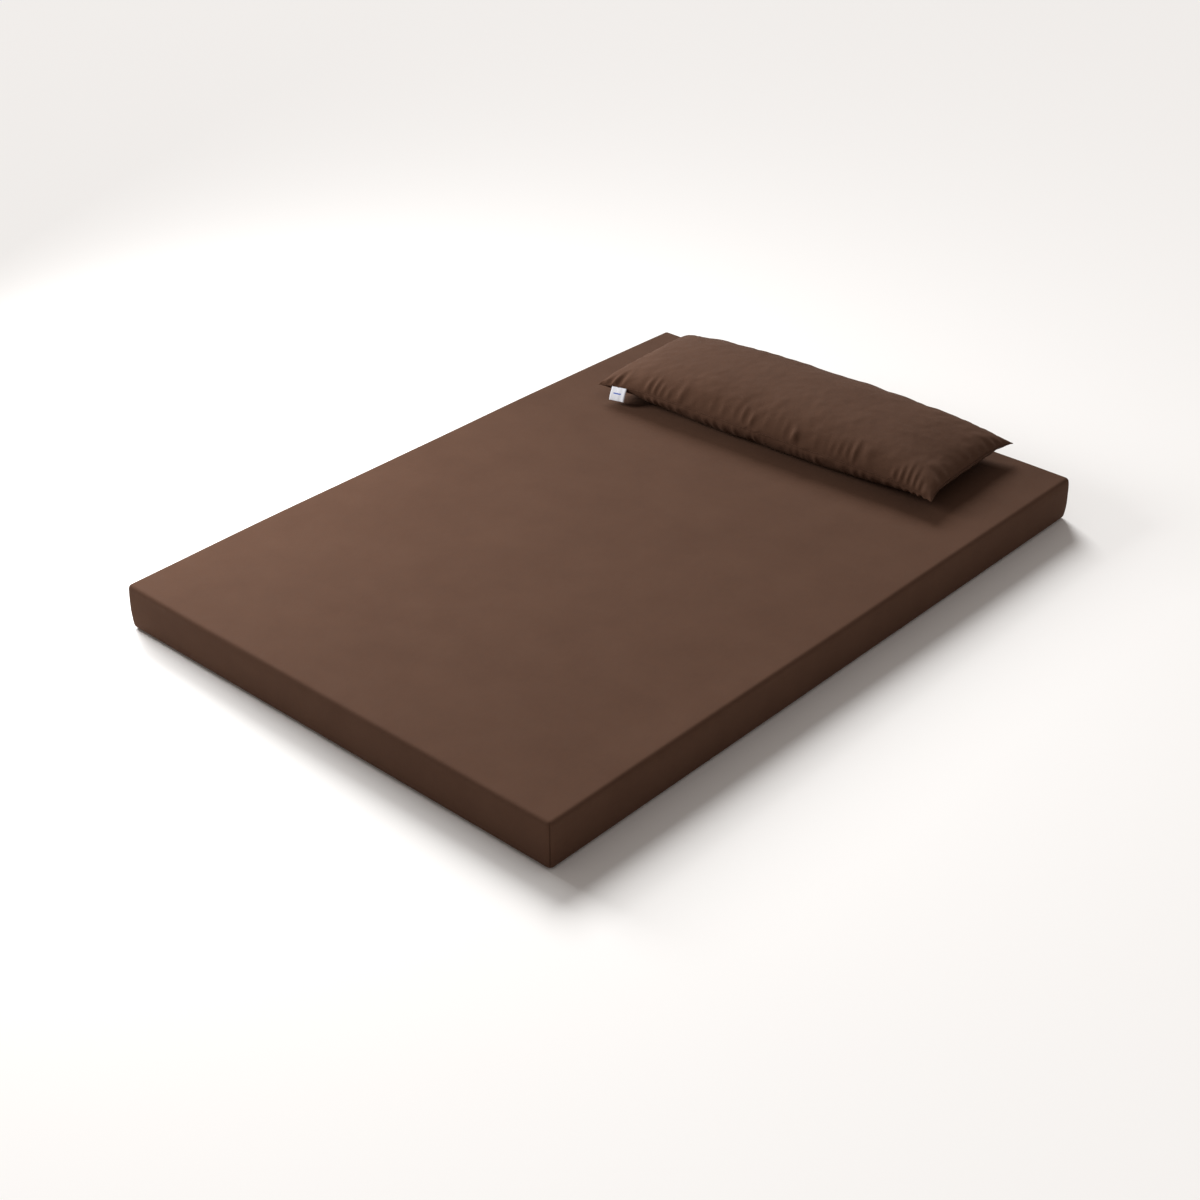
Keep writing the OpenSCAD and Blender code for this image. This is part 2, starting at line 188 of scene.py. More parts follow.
def makeLamp(settings):
    data = bpy.data.lights.new(settings["name"], settings["kind"])
    data.energy = settings["power"]
    if settings["kind"] == "SUN":
        data.angle = math.radians(settings["spread"])
    else:
        data.shape = "SQUARE"
        data.size = settings["spread"]
    lamp = bpy.data.objects.new(settings["name"], data)
    place = Vector(settings["place"])
    lamp.location = place
    lamp.visible_camera = False
    lamp.rotation_mode = "QUATERNION"
    lamp.rotation_quaternion = (-place).to_track_quat("-Z", "Y")
    scene.collection.objects.link(lamp)


def makeStudio(settings):
    half = settings["floorSize"] / 2
    floor = makeRectangle("floor", half, half, 0)
    material = bpy.data.materials.new("paleFloor")
    material.use_nodes = True
    shader = material.node_tree.nodes["Principled BSDF"]
    shader.inputs["Base Color"].default_value = settings["floorColour"]
    shader.inputs["Roughness"].default_value = settings["floorRoughness"]
    floor.data.materials.append(material)
    world = bpy.data.worlds.new("studioWorld")
    world.use_nodes = True
    background = world.node_tree.nodes["Background"]
    background.inputs["Color"].default_value = settings["worldColour"]
    background.inputs["Strength"].default_value = settings["worldStrength"]
    scene.world = world
    for lamp in settings["lamps"]:
        makeLamp(lamp)
    scene.view_settings.view_transform = "Standard"


makeStudio(studio)
print("studio made")


def newGroup(name, inputs, outputs):
    group = bpy.data.node_groups.new(name, "ShaderNodeTree")
    for socketName, socketType, value in inputs:
        socket = group.interface.new_socket(name=socketName, in_out="INPUT", socket_type=socketType)
        if value is not None:
            socket.default_value = value
    for socketName in outputs:
        group.interface.new_socket(name=socketName, in_out="OUTPUT", socket_type="NodeSocketFloat")
    return group, group.nodes.new("NodeGroupInput"), group.nodes.new("NodeGroupOutput")


def addMath(tree, operation, first, second=None):
    node = tree.nodes.new("ShaderNodeMath")
    node.operation = operation
    for index, value in enumerate((first, second)):
        if isinstance(value, (int, float)):
            node.inputs[index].default_value = value
        elif value is not None:
            tree.links.new(value, node.inputs[index])
    return node.outputs[0]


def addNoise(tree, vector, scale, detail=3, roughness=0.5):
    texture = tree.nodes.new("ShaderNodeTexNoise")
    texture.inputs["Detail"].default_value = detail
    texture.inputs["Roughness"].default_value = roughness
    tree.links.new(vector, texture.inputs["Vector"])
    if isinstance(scale, (int, float)):
        texture.inputs["Scale"].default_value = scale
    else:
        tree.links.new(scale, texture.inputs["Scale"])
    return texture.outputs["Fac"]


def addStretch(tree, vector, scale, turn=(0, 0, 0)):
    node = tree.nodes.new("ShaderNodeMapping")
    node.inputs["Scale"].default_value = scale
    node.inputs["Rotation"].default_value = turn
    tree.links.new(vector, node.inputs["Vector"])
    return node.outputs[0]


def addRange(tree, value, low, high):
    node = tree.nodes.new("ShaderNodeMapRange")
    tree.links.new(value, node.inputs["Value"])
    node.inputs["From Min"].default_value = low
    node.inputs["From Max"].default_value = high
    return node.outputs["Result"]


def addMix(tree, factor, colourA, colourB):
    node = tree.nodes.new("ShaderNodeMix")
    node.data_type = "RGBA"
    for socket, value in ((node.inputs[0], factor), (node.inputs[6], colourA), (node.inputs[7], colourB)):
        if isinstance(value, (int, float, tuple)):
            socket.default_value = value
        else:
            tree.links.new(value, socket)
    return node.outputs[2]


def addSplit(tree, vector):
    node = tree.nodes.new("ShaderNodeSeparateXYZ")
    tree.links.new(vector, node.inputs[0])
    return node.outputs


def addRipple(tree, value, spacing):
    return addMath(tree, "SINE", addMath(tree, "MULTIPLY", value, 2 * math.pi / spacing))


def addBump(tree, shader, height, strength, distance):
    bump = tree.nodes.new("ShaderNodeBump")
    bump.inputs["Strength"].default_value = strength
    bump.inputs["Distance"].default_value = distance
    tree.links.new(height, bump.inputs["Height"])
    tree.links.new(bump.outputs["Normal"], shader.inputs["Normal"])


weaveShape = {
    "threadHeight": 0.7,
    "crossingHeight": 0.15,
    "slubStretch": (260, 40, 1),
    "shadeOfHeight": 0.5,
    "shadeSpan": (0.2, 1.1),     # lowest and highest shade that the weave gives
}


def makeWeaveGroup(shape):
    # plain weave with uneven threads, over coordinates in metres; Shade is painted shade from the weave's
    # height, plus the slubs' own tone
    group, inNode, outNode = newGroup(
        "plainWeave",
        [("Vector", "NodeSocketVector", None), ("Thread", "NodeSocketFloat", 0.0006),
         ("Slub", "NodeSocketFloat", 0.35)],
        ["Height", "Shade"],
    )
    split = addSplit(group, inNode.outputs["Vector"])
    turns = addMath(group, "DIVIDE", math.pi, inNode.outputs["Thread"])
    across = addMath(group, "MULTIPLY", split["X"], turns)
    along = addMath(group, "MULTIPLY", split["Y"], turns)
    warp = addMath(group, "ABSOLUTE", addMath(group, "SINE", across))
    weft = addMath(group, "ABSOLUTE", addMath(group, "SINE", along))
    overUnder = addMath(group, "MULTIPLY", addMath(group, "COSINE", across), addMath(group, "COSINE", along))
    threads = addMath(group, "MULTIPLY", addMath(group, "MULTIPLY", warp, weft), shape["threadHeight"])
    weave = addMath(group, "ADD", threads, addMath(group, "MULTIPLY", overUnder, shape["crossingHeight"]))
    slub = addNoise(group, addStretch(group, inNode.outputs["Vector"], shape["slubStretch"]), 1.0)
    slubbed = addMath(group, "MULTIPLY", slub, inNode.outputs["Slub"])
    group.links.new(addMath(group, "ADD", weave, slubbed), outNode.inputs["Height"])
    shade = addMath(group, "ADD", addMath(group, "MULTIPLY", weave, shape["shadeOfHeight"]), slub)
    group.links.new(shade, outNode.inputs["Shade"])
    return group


mottleShape = {"detail": 5, "roughness": 0.6, "span": (0.33, 0.67)}


def makeMottleGroup(shape):
    # cloudy unevenness of a colour, broad and fine
    group, inNode, outNode = newGroup(
        "mottle",
        [("Vector", "NodeSocketVector", None), ("Cloud", "NodeSocketFloat", 6.0),
         ("Fleck", "NodeSocketFloat", 60.0)],
        ["Cloudy", "Flecked"],
    )
    for socketName, outName in (("Cloud", "Cloudy"), ("Fleck", "Flecked")):
        scale = inNode.outputs[socketName]
        fac = addNoise(group, inNode.outputs["Vector"], scale, shape["detail"], shape["roughness"])
        group.links.new(addRange(group, fac, *shape["span"]), outNode.inputs[outName])
    return group


weaveGroup = makeWeaveGroup(weaveShape)
mottleGroup = makeMottleGroup(mottleShape)
sheenRoughness = 0.45


def addGroup(tree, group, vector, **values):
    node = tree.nodes.new("ShaderNodeGroup")
    node.node_tree = group
    tree.links.new(vector, node.inputs["Vector"])
    for name, value in values.items():
        node.inputs[name].default_value = value
    return node.outputs


def addWeave(tree, vector, settings):
    return addGroup(tree, weaveGroup, vector, Thread=settings["thread"], Slub=settings["slub"])


def addMottle(tree, vector, settings):
    return addGroup(tree, mottleGroup, vector, Cloud=settings["cloud"], Fleck=settings["fleck"])


def newMaterial(name, settings):
    material = bpy.data.materials.new(name)
    material.use_nodes = True
    tree = material.node_tree
    shader = tree.nodes["Principled BSDF"]
    shader.inputs["Specular IOR Level"].default_value = settings["specular"]
    shader.inputs["Sheen Weight"].default_value = settings.get("sheen", 0.0)
    shader.inputs["Sheen Roughness"].default_value = sheenRoughness
    shader.inputs["Roughness"].default_value = settings["roughness"]
    return material, tree, shader, tree.nodes.new("ShaderNodeTexCoord").outputs


def makeWovenMaterial(name, settings):
    material, tree, shader, coordinates = newMaterial(name, settings)
    weave = addWeave(tree, coordinates[settings["over"]], settings)
    mottle = addMottle(tree, coordinates["Object"], settings)
    dyed = addMix(tree, mottle["Cloudy"], settings["dark"], settings["light"])
    flecked = addMath(tree, "MULTIPLY", mottle["Flecked"], settings["fleckAmount"])
    dyed = addMix(tree, flecked, dyed, settings["fleckColour"])
    shaded = addRange(tree, weave["Shade"], *weaveShape["shadeSpan"])
    shade = addMath(tree, "MULTIPLY", shaded, settings["weaveShade"])
    # painted highlight on the raised threads and painted shade between them, with the slubs' own tone
    tree.links.new(addMix(tree, shade, dyed, settings["litThreadAndSlubColour"]), shader.inputs["Base Color"])
    uneven = addMath(tree, "MULTIPLY", mottle["Flecked"], settings["unevenness"])
    tree.links.new(addMath(tree, "ADD", uneven, settings["roughness"]), shader.inputs["Roughness"])
    addBump(tree, shader, weave["Height"], settings["bump"], settings["thread"] / 2)
    shader.inputs["Sheen Tint"].default_value = settings["sheenTint"]
    return material


brownCotton = {
    "over": "UV",
    "dark": (0.082, 0.0418, 0.0262, 1),
    "light": (0.093, 0.0484, 0.0306, 1),
    "fleckColour": (0.112, 0.056, 0.036, 1),
    "fleckAmount": 0.18,
    "litThreadAndSlubColour": (0.12, 0.062, 0.040, 1),
    "weaveShade": 0.25,
    "thread": 0.00055,
    "slub": 0.35,
    "cloud": 7.0,
    "fleck": 70.0,
    "roughness": 0.82,
    "unevenness": 0.08,
    "bump": 0.35,
    "specular": 0.06,
    "sheen": 0.02,
    "sheenTint": (0.75, 0.55, 0.45, 1),
}
liningCloth = {
    "over": "Object",
    "dark": (0.74, 0.72, 0.66, 1),
    "light": (0.82, 0.80, 0.75, 1),
    "fleckColour": (0.9, 0.88, 0.84, 1),
    "fleckAmount": 0.25,
    "litThreadAndSlubColour": (0.92, 0.91, 0.88, 1),
    "weaveShade": 0.3,
    "thread": 0.0005,
    "slub": 0.25,
    "cloud": 9.0,
    "fleck": 80.0,
    "roughness": 0.8,
    "unevenness": 0.08,
    "bump": 0.3,
    "specular": 0.06,
    "sheen": 0.05,
    "sheenTint": (1, 1, 1, 1),
}


def makeFibreMaterial(name, settings):
    # matted polyester fibres lying every way
    material, tree, shader, coordinates = newMaterial(name, settings)
    place = coordinates["Object"]
    hairs = [
        addNoise(tree, addStretch(tree, place, settings["stretch"], (0, 0, turn)), 1.0, *settings["hair"])
        for turn in settings["turns"]
    ]
    matted = addMath(tree, "MAXIMUM", addMath(tree, "MAXIMUM", hairs[0], hairs[1]), hairs[2])
    clumps = addMottle(tree, place, settings)
    white = addMix(tree, clumps["Cloudy"], settings["shadeColour"], settings["colour"])
    lit = addRange(tree, matted, *settings["mattedSpan"])
    tree.links.new(addMix(tree, lit, settings["shadeColour"], white), shader.inputs["Base Color"])
    addBump(tree, shader, matted, settings["bump"], settings["depth"])
    return material


polyesterFibre = {
    "colour": (0.9, 0.9, 0.88, 1),
    "shadeColour": (0.72, 0.72, 0.7, 1),
    "stretch": (900, 60, 300),
    "turns": (0.3, 1.4, 2.5),
    "hair": (4, 0.65),           # detail and roughness of each layer of fibres
    "mattedSpan": (0.45, 0.75),
    "cloud": 18.0,
    "fleck": 160.0,
    "roughness": 0.95,
    "bump": 0.7,
    "depth": 0.0012,
    "specular": 0.2,
    "sheen": 0.15,
}


def makeFoamMaterial(name, settings):
    # open cells, seen as small pits
    material, tree, shader, coordinates = newMaterial(name, settings)
    cells = tree.nodes.new("ShaderNodeTexVoronoi")
    cells.inputs["Scale"].default_value = settings["cellsPerMetre"]
    tree.links.new(coordinates["Object"], cells.inputs["Vector"])
    pits = addRange(tree, cells.outputs["Distance"], *settings["pitSpan"])
    mottle = addMottle(tree, coordinates["Object"], settings)
    base = addMix(tree, mottle["Cloudy"], settings["colour"], settings["agedColour"])
    # painted shade in the open cells, darkest in the middle of each pit
    tree.links.new(addMix(tree, pits, settings["pitShadeColour"], base), shader.inputs["Base Color"])
    addBump(tree, shader, pits, settings["bump"], settings["depth"])
    return material


paleFoam = {
    "colour": (0.86, 0.79, 0.52, 1),
    "agedColour": (0.82, 0.72, 0.42, 1),
    "pitShadeColour": (0.6, 0.52, 0.3, 1),
    "cellsPerMetre": 700.0,
    "pitSpan": (0.1, 0.6),
    "cloud": 5.0,
    "fleck": 120.0,
    "roughness": 0.9,
    "bump": 0.6,
    "depth": 0.0006,
    "specular": 0.2,
}


def makeTwillMaterial(name, settings):
    # slanting ribs of a narrow woven tape
    material, tree, shader, coordinates = newMaterial(name, settings)
    split = addSplit(tree, coordinates["Object"])
    slant = addMath(tree, "ADD", split["X"], split["Z"])
    ribs = addRipple(tree, slant, settings["rib"])
    threads = addRipple(tree, split["X"], settings["thread"])
    height = addMath(tree, "ADD", ribs, addMath(tree, "MULTIPLY", threads, settings["threadShare"]))
    mottle = addMottle(tree, coordinates["Object"], settings)
    dyed = addMix(tree, mottle["Flecked"], settings["dark"], settings["light"])
    lit = addRange(tree, height, *settings["heightSpan"])
    # painted shade in the grooves between the ribs, following the bump
    tree.links.new(addMix(tree, lit, settings["grooveShadeColour"], dyed), shader.inputs["Base Color"])
    addBump(tree, shader, height, settings["bump"], settings["depth"])
    return material


brownTwill = {
    "dark": (0.030, 0.016, 0.011, 1),
    "light": (0.042, 0.023, 0.016, 1),
    "grooveShadeColour": (0.016, 0.009, 0.006, 1),
    "rib": 0.0009,
    "thread": 0.0004,
    "threadShare": 0.3,
    "heightSpan": (-1.2, 1.2),
    "cloud": 30.0,
    "fleck": 300.0,
    "roughness": 0.75,
    "bump": 0.4,
    "depth": 0.00012,
    "specular": 0.3,
    "sheen": 0.05,
}
scratchShape = {
    "stretch": (3000, 200, 900),
    "turn": (0, 0.4, 0),
    "detail": 2,
    "bump": 0.15,
    "depth": 0.00005,
}


def makeHardMaterial(name, settings):
    # nylon or lacquered metal, with rubbed patches and fine scratches
    material, tree, shader, coordinates = newMaterial(name, settings)
    place = coordinates["Object"]
    mottle = addMottle(tree, place, settings)
    drawnOut = addStretch(tree, place, scratchShape["stretch"], scratchShape["turn"])
    scratches = addNoise(tree, drawnOut, 1.0, scratchShape["detail"])
    rubbed = addMath(tree, "MULTIPLY", mottle["Cloudy"], mottle["Flecked"])
    colour = addMix(tree, rubbed, settings["colour"], settings["rubbedColour"])
    tree.links.new(colour, shader.inputs["Base Color"])
    shader.inputs["Metallic"].default_value = settings["metallic"]
    uneven = addMath(tree, "MULTIPLY", scratches, settings["scuff"])
    tree.links.new(addMath(tree, "ADD", uneven, settings["roughness"]), shader.inputs["Roughness"])
    addBump(tree, shader, scratches, scratchShape["bump"], scratchShape["depth"])
    return material


nylonCoil = {
    "colour": (0.028, 0.016, 0.012, 1),
    "rubbedColour": (0.05, 0.03, 0.022, 1),
    "metallic": 0.0,
    "roughness": 0.42,
    "scuff": 0.2,
    "specular": 0.5,
    "cloud": 90.0,
    "fleck": 900.0,
}
bronzeLacquer = {
    "colour": (0.16, 0.095, 0.058, 1),
    "rubbedColour": (0.42, 0.29, 0.18, 1),
    "metallic": 1.0,
    "roughness": 0.3,
    "scuff": 0.25,
    "specular": 0.5,
    "cloud": 160.0,
    "fleck": 1200.0,
}


def makeThreadMaterial(name, settings):
    # twisted sewing thread
    material, tree, shader, coordinates = newMaterial(name, settings)
    split = addSplit(tree, coordinates["Object"])
    slant = addMath(tree, "ADD", split["Y"], split["Z"])
    twist = addRipple(tree, addMath(tree, "ADD", split["X"], slant), settings["ply"])
    # painted highlight on the plies and painted shade between them, following the twist's bump
    colour = addMix(tree, addRange(tree, twist, -1, 1), settings["dark"], settings["light"])
    tree.links.new(colour, shader.inputs["Base Color"])
    addBump(tree, shader, twist, settings["bump"], settings["depth"])
    return material


brownThread = {
    "dark": (0.07, 0.038, 0.026, 1),
    "light": (0.15, 0.09, 0.064, 1),
    "ply": 0.0005,
    "roughness": 0.6,
    "bump": 0.3,
    "depth": 0.00005,
    "specular": 0.4,
    "sheen": 0.05,
}


def makeRibbonMaterial(name, settings):
    # white woven ribbon with one plain bar across its face
    material, tree, shader, coordinates = newMaterial(name, settings)
    split = addSplit(tree, coordinates["UV"])
    weave = addWeave(tree, coordinates["UV"], settings)
    inside = []
    limits = ((split["X"], settings["barAcross"]), (split["Y"], settings["barAlong"]))
    for socket, (low, high) in limits:
        inside.append(addMath(tree, "GREATER_THAN", socket, low))
        inside.append(addMath(tree, "LESS_THAN", socket, high))
    bar = addMath(tree, "MULTIPLY", addMath(tree, "MULTIPLY", inside[0], inside[1]),
                  addMath(tree, "MULTIPLY", inside[2], inside[3]))
    shaded = addRange(tree, weave["Shade"], *weaveShape["shadeSpan"])
    white = addMix(tree, shaded, settings["shadeColour"], settings["colour"])
    tree.links.new(addMix(tree, bar, white, settings["barColour"]), shader.inputs["Base Color"])
    addBump(tree, shader, weave["Height"], settings["bump"], settings["depth"])
    return material


whiteRibbon = {
    "colour": (0.86, 0.88, 0.93, 1),
    "shadeColour": (0.66, 0.69, 0.77, 1),
    "barColour": (0.05, 0.12, 0.5, 1),
    "barAcross": (0.010, 0.034),
    "barAlong": (0.018, 0.0215),
    "thread": 0.0003,
    "slub": 0.2,
    "roughness": 0.55,
    "bump": 0.3,
    "depth": 0.00012,
    "specular": 0.35,
    "sheen": 0.1,
}

cottonMaterial = makeWovenMaterial("brownCotton", brownCotton)
liningMaterial = makeWovenMaterial("liningCloth", liningCloth)
fibreMaterial = makeFibreMaterial("polyesterFibre", polyesterFibre)
foamMaterial = makeFoamMaterial("paleFoam", paleFoam)
tapeMaterial = makeTwillMaterial("brownTwill", brownTwill)
coilMaterial = makeHardMaterial("nylonCoil", nylonCoil)
metalMaterial = makeHardMaterial("bronzeLacquer", bronzeLacquer)
threadMaterial = makeThreadMaterial("brownThread", brownThread)
ribbonMaterial = makeRibbonMaterial("whiteRibbon", whiteRibbon)
print("materials made")


def gridLines(low, high, steps, cell, extra=()):
    # close lines near both ends of a side, as steps in mm say, and even ones between
    inset = [step * mm for step in steps]
    start, end = low + inset[-1], high - inset[-1]
    count = max(1, round((end - start) / cell))
    lines = [low + d for d in inset] + [high - d for d in inset]
    lines += [start + (end - start) * i / count for i in range(1, count)]
    for value in extra:
        lines = [line for line in lines if abs(line - value) > cell * 0.3] + [value]
    return sorted(lines)


def boxLattice(xs, ys, zs, keep):
    # shared points over the six sides of a box; keep says which cells of each side stay
    index, points, faces = {}, [], []
    nx, ny, nz = len(xs) - 1, len(ys) - 1, len(zs) - 1
    sides = {
        "bottom": (nx, ny, lambda a, b: (a, b, 0), True),
        "top": (nx, ny, lambda a, b: (a, b, nz), False),
        "front": (nx, nz, lambda a, b: (a, 0, b), False),
        "back": (nx, nz, lambda a, b: (a, ny, b), True),
        "left": (ny, nz, lambda a, b: (0, a, b), True),
        "right": (ny, nz, lambda a, b: (nx, a, b), False),
    }
    for side, (countA, countB, cornerAt, turned) in sides.items():
        for a in range(countA):
            for b in range(countB):
                if not keep(side, a, b):
                    continue
                face = []
                for stepA, stepB in ((0, 0), (1, 0), (1, 1), (0, 1)):
                    corner = cornerAt(a + stepA, b + stepB)
                    if corner not in index:
                        index[corner] = len(points)
                        points.append(Vector((xs[corner[0]], ys[corner[1]], zs[corner[2]])))
                    face.append(index[corner])
                faces.append(face[::-1] if turned else face)
    return points, faces


coverSettings = {
    "cell": 0.014,
    "heightCell": 0.006,
    "edgeSteps": (0, 0.8, 2, 3.6, 5.6, 8, 11, 15, 20, 27),   # mm from each edge
    "topRadius": 0.011,
    "bottomRadius": 0.014,
    "radiusSpan": (0.1, 0.75),   # shares of the height between which the radius changes
    "thickness": 0.0012,
    "lip": 0.020,            # cloth turned under the edge, up to the base's seam
    "topSwell": 0.0012,
    "sideSwell": 0.0026,
    "zipReach": 0.018,       # distance from the slot at which the back wall swells in full
    "pullReach": 0.03,       # flat wall past each end of the slot, where the pull tab can lie
    "wallReach": 0.03,
    "wallFade": 0.2,         # share of the height over which a wall's swell starts and ends
    "sideWave": 0.0030,
    "sideWaves": ((1.0, 3.1, 2.7, 1.3, 4.0), (0.35, 11, 10, 3.0, 9.0)),   # share, rates and seed
    "topWave": 0.0011,
    "topUneven": (0.7, 2.6, 2.1, 1.5),    # mean, rates and seed
    "edgeWave": 0.0028,
    "edgeUneven": (0.5, 2.4, 2.3, 7.7),
    "edgeReach": 0.10,
    "riseFrom": 0.3,         # share of the height above which the top's shape shows
    "leftRise": 0.007,       # the left edge stands higher halfway along
    "leftReach": 0.4,
    "seamDepth": 0.0026,
    "seamReach": 0.0030,
    "seamSpan": (0.02, 0.12),    # shares of the height over which a corner's dent starts
    "bareTape": 0.0032,      # tape that shows between the coil and the cloth
    "pressOutside": 0.03,    # the pillow starts to press the top this far outside its filling
    "pressInside": 0.05,     # and presses it in full this far inside
    "pressed": 0.95,
}


def uneven(place, shape):
    mean, rateX, rateY, seed = shape
    return mean + wave(place.x * rateX, place.y * rateY, seed)


def underPillow(place, settings):
    # 1 where the pillow presses the top flat, 0 well outside it
    local = pillowPlace.inverted() @ place
    half = (fillingHigh - fillingLow) / 2
    outside, inside = settings["pressOutside"], settings["pressInside"]
    pressX = smooth(half.x + outside, half.x - inside, abs(local.x))
    pressY = smooth(half.y + outside, half.y - inside, abs(local.y))
    return pressX * pressY


def coverPoint(place, settings):
    # a point of the plain box, moved to where the stuffed cover has it
    low, high = shellLow, shellHigh
    height = (place.z - low.z) / (high.z - low.z)
    taller = settings["topRadius"] - settings["bottomRadius"]
    radius = settings["bottomRadius"] + taller * smooth(*settings["radiusSpan"], height)
    core = Vector([min(max(place[i], low[i] + radius), high[i] - radius) for i in range(3)])
    offset = place - core
    outward = offset.normalized() if offset.length > 1e-9 else Vector((0, 0, 1))
    point = core + outward * radius
    fromEdge = min(high.x - abs(place.x), high.y - abs(place.y))
    fade = settings["wallFade"]
    wall = smooth(settings["wallReach"], 0, fromEdge) * smooth(0, fade, height) * smooth(1, 1 - fade, height)
    swell = settings["sideSwell"] * math.sin(math.pi * height)
    for share, rateX, rateY, rateZ, seed in settings["sideWaves"]:
        swell += settings["sideWave"] * share * wave(place.x * rateX + place.y * rateY, height * rateZ, seed)
    if place.y > 0:
        # the zip holds the back wall flat
        offSlot = abs(place.z - coverZipHeight) - coverSlotHalf
        pastSlot = abs(place.x) - coverSlotEnd - settings["pullReach"]
        swell *= smooth(0, settings["zipReach"], max(offSlot, pastSlot))
    point += Vector((outward.x, outward.y, 0)) * wall * swell
    middle = (1 - (place.x / high.x) ** 2) * (1 - (place.y / high.y) ** 2)
    rise = settings["topSwell"] * middle + settings["topWave"] * uneven(place, settings["topUneven"])
    halfway = 1 - (place.y / high.y) ** 2
    rise += settings["leftRise"] * halfway * smooth(low.x + settings["leftReach"], low.x, place.x)
    nearEdge = smooth(settings["edgeReach"], 0, fromEdge)
    rise += settings["edgeWave"] * nearEdge * uneven(place, settings["edgeUneven"])
    showing = smooth(settings["riseFrom"], 1, height)
    point.z += rise * showing * (1 - settings["pressed"] * underPillow(place, settings))
    # the four upright corners are drawn in along their seams
    fromCorner = max(high.x - abs(place.x), high.y - abs(place.y))
    dent = settings["seamDepth"] * smooth(settings["seamReach"], 0, fromCorner)
    inward = Vector((-math.copysign(1, place.x), -math.copysign(1, place.y), 0)).normalized()
    return point + inward * dent * smooth(*settings["seamSpan"], height)


def flatCoordinates(place):
    # where a point of the cover lies on the cloth: walls folded out flat beside the top
    drop = shellHigh.z - place.z
    if abs(place.x) > shellHigh.x - 1e-6:
        return place.x + math.copysign(drop, place.x), place.y
    if abs(place.y) > shellHigh.y - 1e-6:
        return place.x, place.y + math.copysign(drop, place.y)
    return place.x, place.y


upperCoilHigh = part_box("cover_zip_coil_upper")[1]
coverStopsLow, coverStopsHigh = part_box("cover_zip_stops")
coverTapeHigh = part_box("cover_zip_tape_upper")[1]
coverZipHeight = (coverStopsLow.z + coverStopsHigh.z) / 2
coverSlotHalf = upperCoilHigh.z - coverZipHeight + coverSettings["bareTape"]
coverSlotEnd = (coverStopsHigh.x + coverTapeHigh.x) / 2


def makeMattressCover(settings):
    slotBottom, slotTop = coverZipHeight - coverSlotHalf, coverZipHeight + coverSlotHalf
    xs = gridLines(
        shellLow.x, shellHigh.x, settings["edgeSteps"], settings["cell"], (-coverSlotEnd, coverSlotEnd)
    )
    ys = gridLines(shellLow.y, shellHigh.y, settings["edgeSteps"], settings["cell"])
    zs = gridLines(
        shellLow.z, shellHigh.z, settings["edgeSteps"], settings["heightCell"], (slotBottom, slotTop)
    )
    lip = settings["lip"] + 1e-6

    def keep(side, a, b):
        if side == "bottom":
            middleX, middleY = (xs[a] + xs[a + 1]) / 2, (ys[b] + ys[b + 1]) / 2
            return min(shellHigh.x - abs(middleX), shellHigh.y - abs(middleY)) < lip
        if side == "back":
            inSlot = slotBottom < (zs[b] + zs[b + 1]) / 2 < slotTop
            return not (inSlot and abs(xs[a] + xs[a + 1]) / 2 < coverSlotEnd)
        return True

    points, faces = boxLattice(xs, ys, zs, keep)
    placed = [coverPoint(place, settings) for place in points]
    cover = makeObject("mattressCover", placed, faces, [flatCoordinates(place) for place in points])
    thicken(cover, settings["thickness"])
    return cover


mattressCover = makeMattressCover(coverSettings)
dress(mattressCover, cottonMaterial, "mattress", "cover_cloth", "cover_shell")
print("mattress cover made:", len(mattressCover.data.vertices), "points")


def slabPoint(place, low, high, planRadius, upperRadius, lowerRadius):
    # a point of a plain box, moved onto a block with round upright corners and round upper and lower edges
    middle, half = (low + high) / 2, (high - low) / 2
    x, y = abs(place.x - middle.x), abs(place.y - middle.y)
    over = Vector((max(0.0, x - half.x + planRadius), max(0.0, y - half.y + planRadius)))
    reach = max(over)
    direction = over.normalized() if reach > 0 else over
    nearTop = high.z - place.z < place.z - low.z
    radius = upperRadius if nearTop else lowerRadius
    inset, depth = planRadius - reach, min(high.z - place.z, place.z - low.z)
    if inset < radius and depth < radius:
        offset = Vector((radius - inset, radius - depth)).normalized() * radius
        inset, depth = radius - offset.x, radius - offset.y
        reach = planRadius - inset
    return Vector((
        middle.x + math.copysign(min(x, half.x - planRadius) + direction.x * reach, place.x - middle.x),
        middle.y + math.copysign(min(y, half.y - planRadius) + direction.y * reach, place.y - middle.y),
        high.z - depth if nearTop else low.z + depth,
    ))


def makeSlab(name, low, high, settings, keep=lambda side, a, b: True, between=None):
    # a soft block, or with keep and between only some sides of it and a band of its height
    xs = gridLines(low.x, high.x, settings["edgeSteps"], settings["cell"])
    ys = gridLines(low.y, high.y, settings["edgeSteps"], settings["cell"])
    zs = gridLines(low.z, high.z, settings["heightSteps"], settings["heightCell"])
    if between:
        zs = [between[0]] + [z for z in zs if between[0] + 1e-4 < z < between[1] - 1e-4] + [between[1]]
    points, faces = boxLattice(xs, ys, zs, keep)
    middle = (low + high) / 2
    placed = []
    for place in points:
        point = slabPoint(
            place, low, high, settings["planRadius"], settings["upperRadius"], settings["lowerRadius"]
        )
        rate = settings["lumpRate"]
        lump = wave(place.x * rate, place.y * rate, place.z * rate + settings["lumpSeed"])
        sink = settings["lumps"] * (0.5 + 0.5 * lump)
        shrink = Vector([math.copysign(min(sink, abs(value)), value) for value in middle - point])
        placed.append(point + shrink)
    uvs = [(point.x, point.y) for point in points]
    return makeObject(name, placed, faces, uvs)


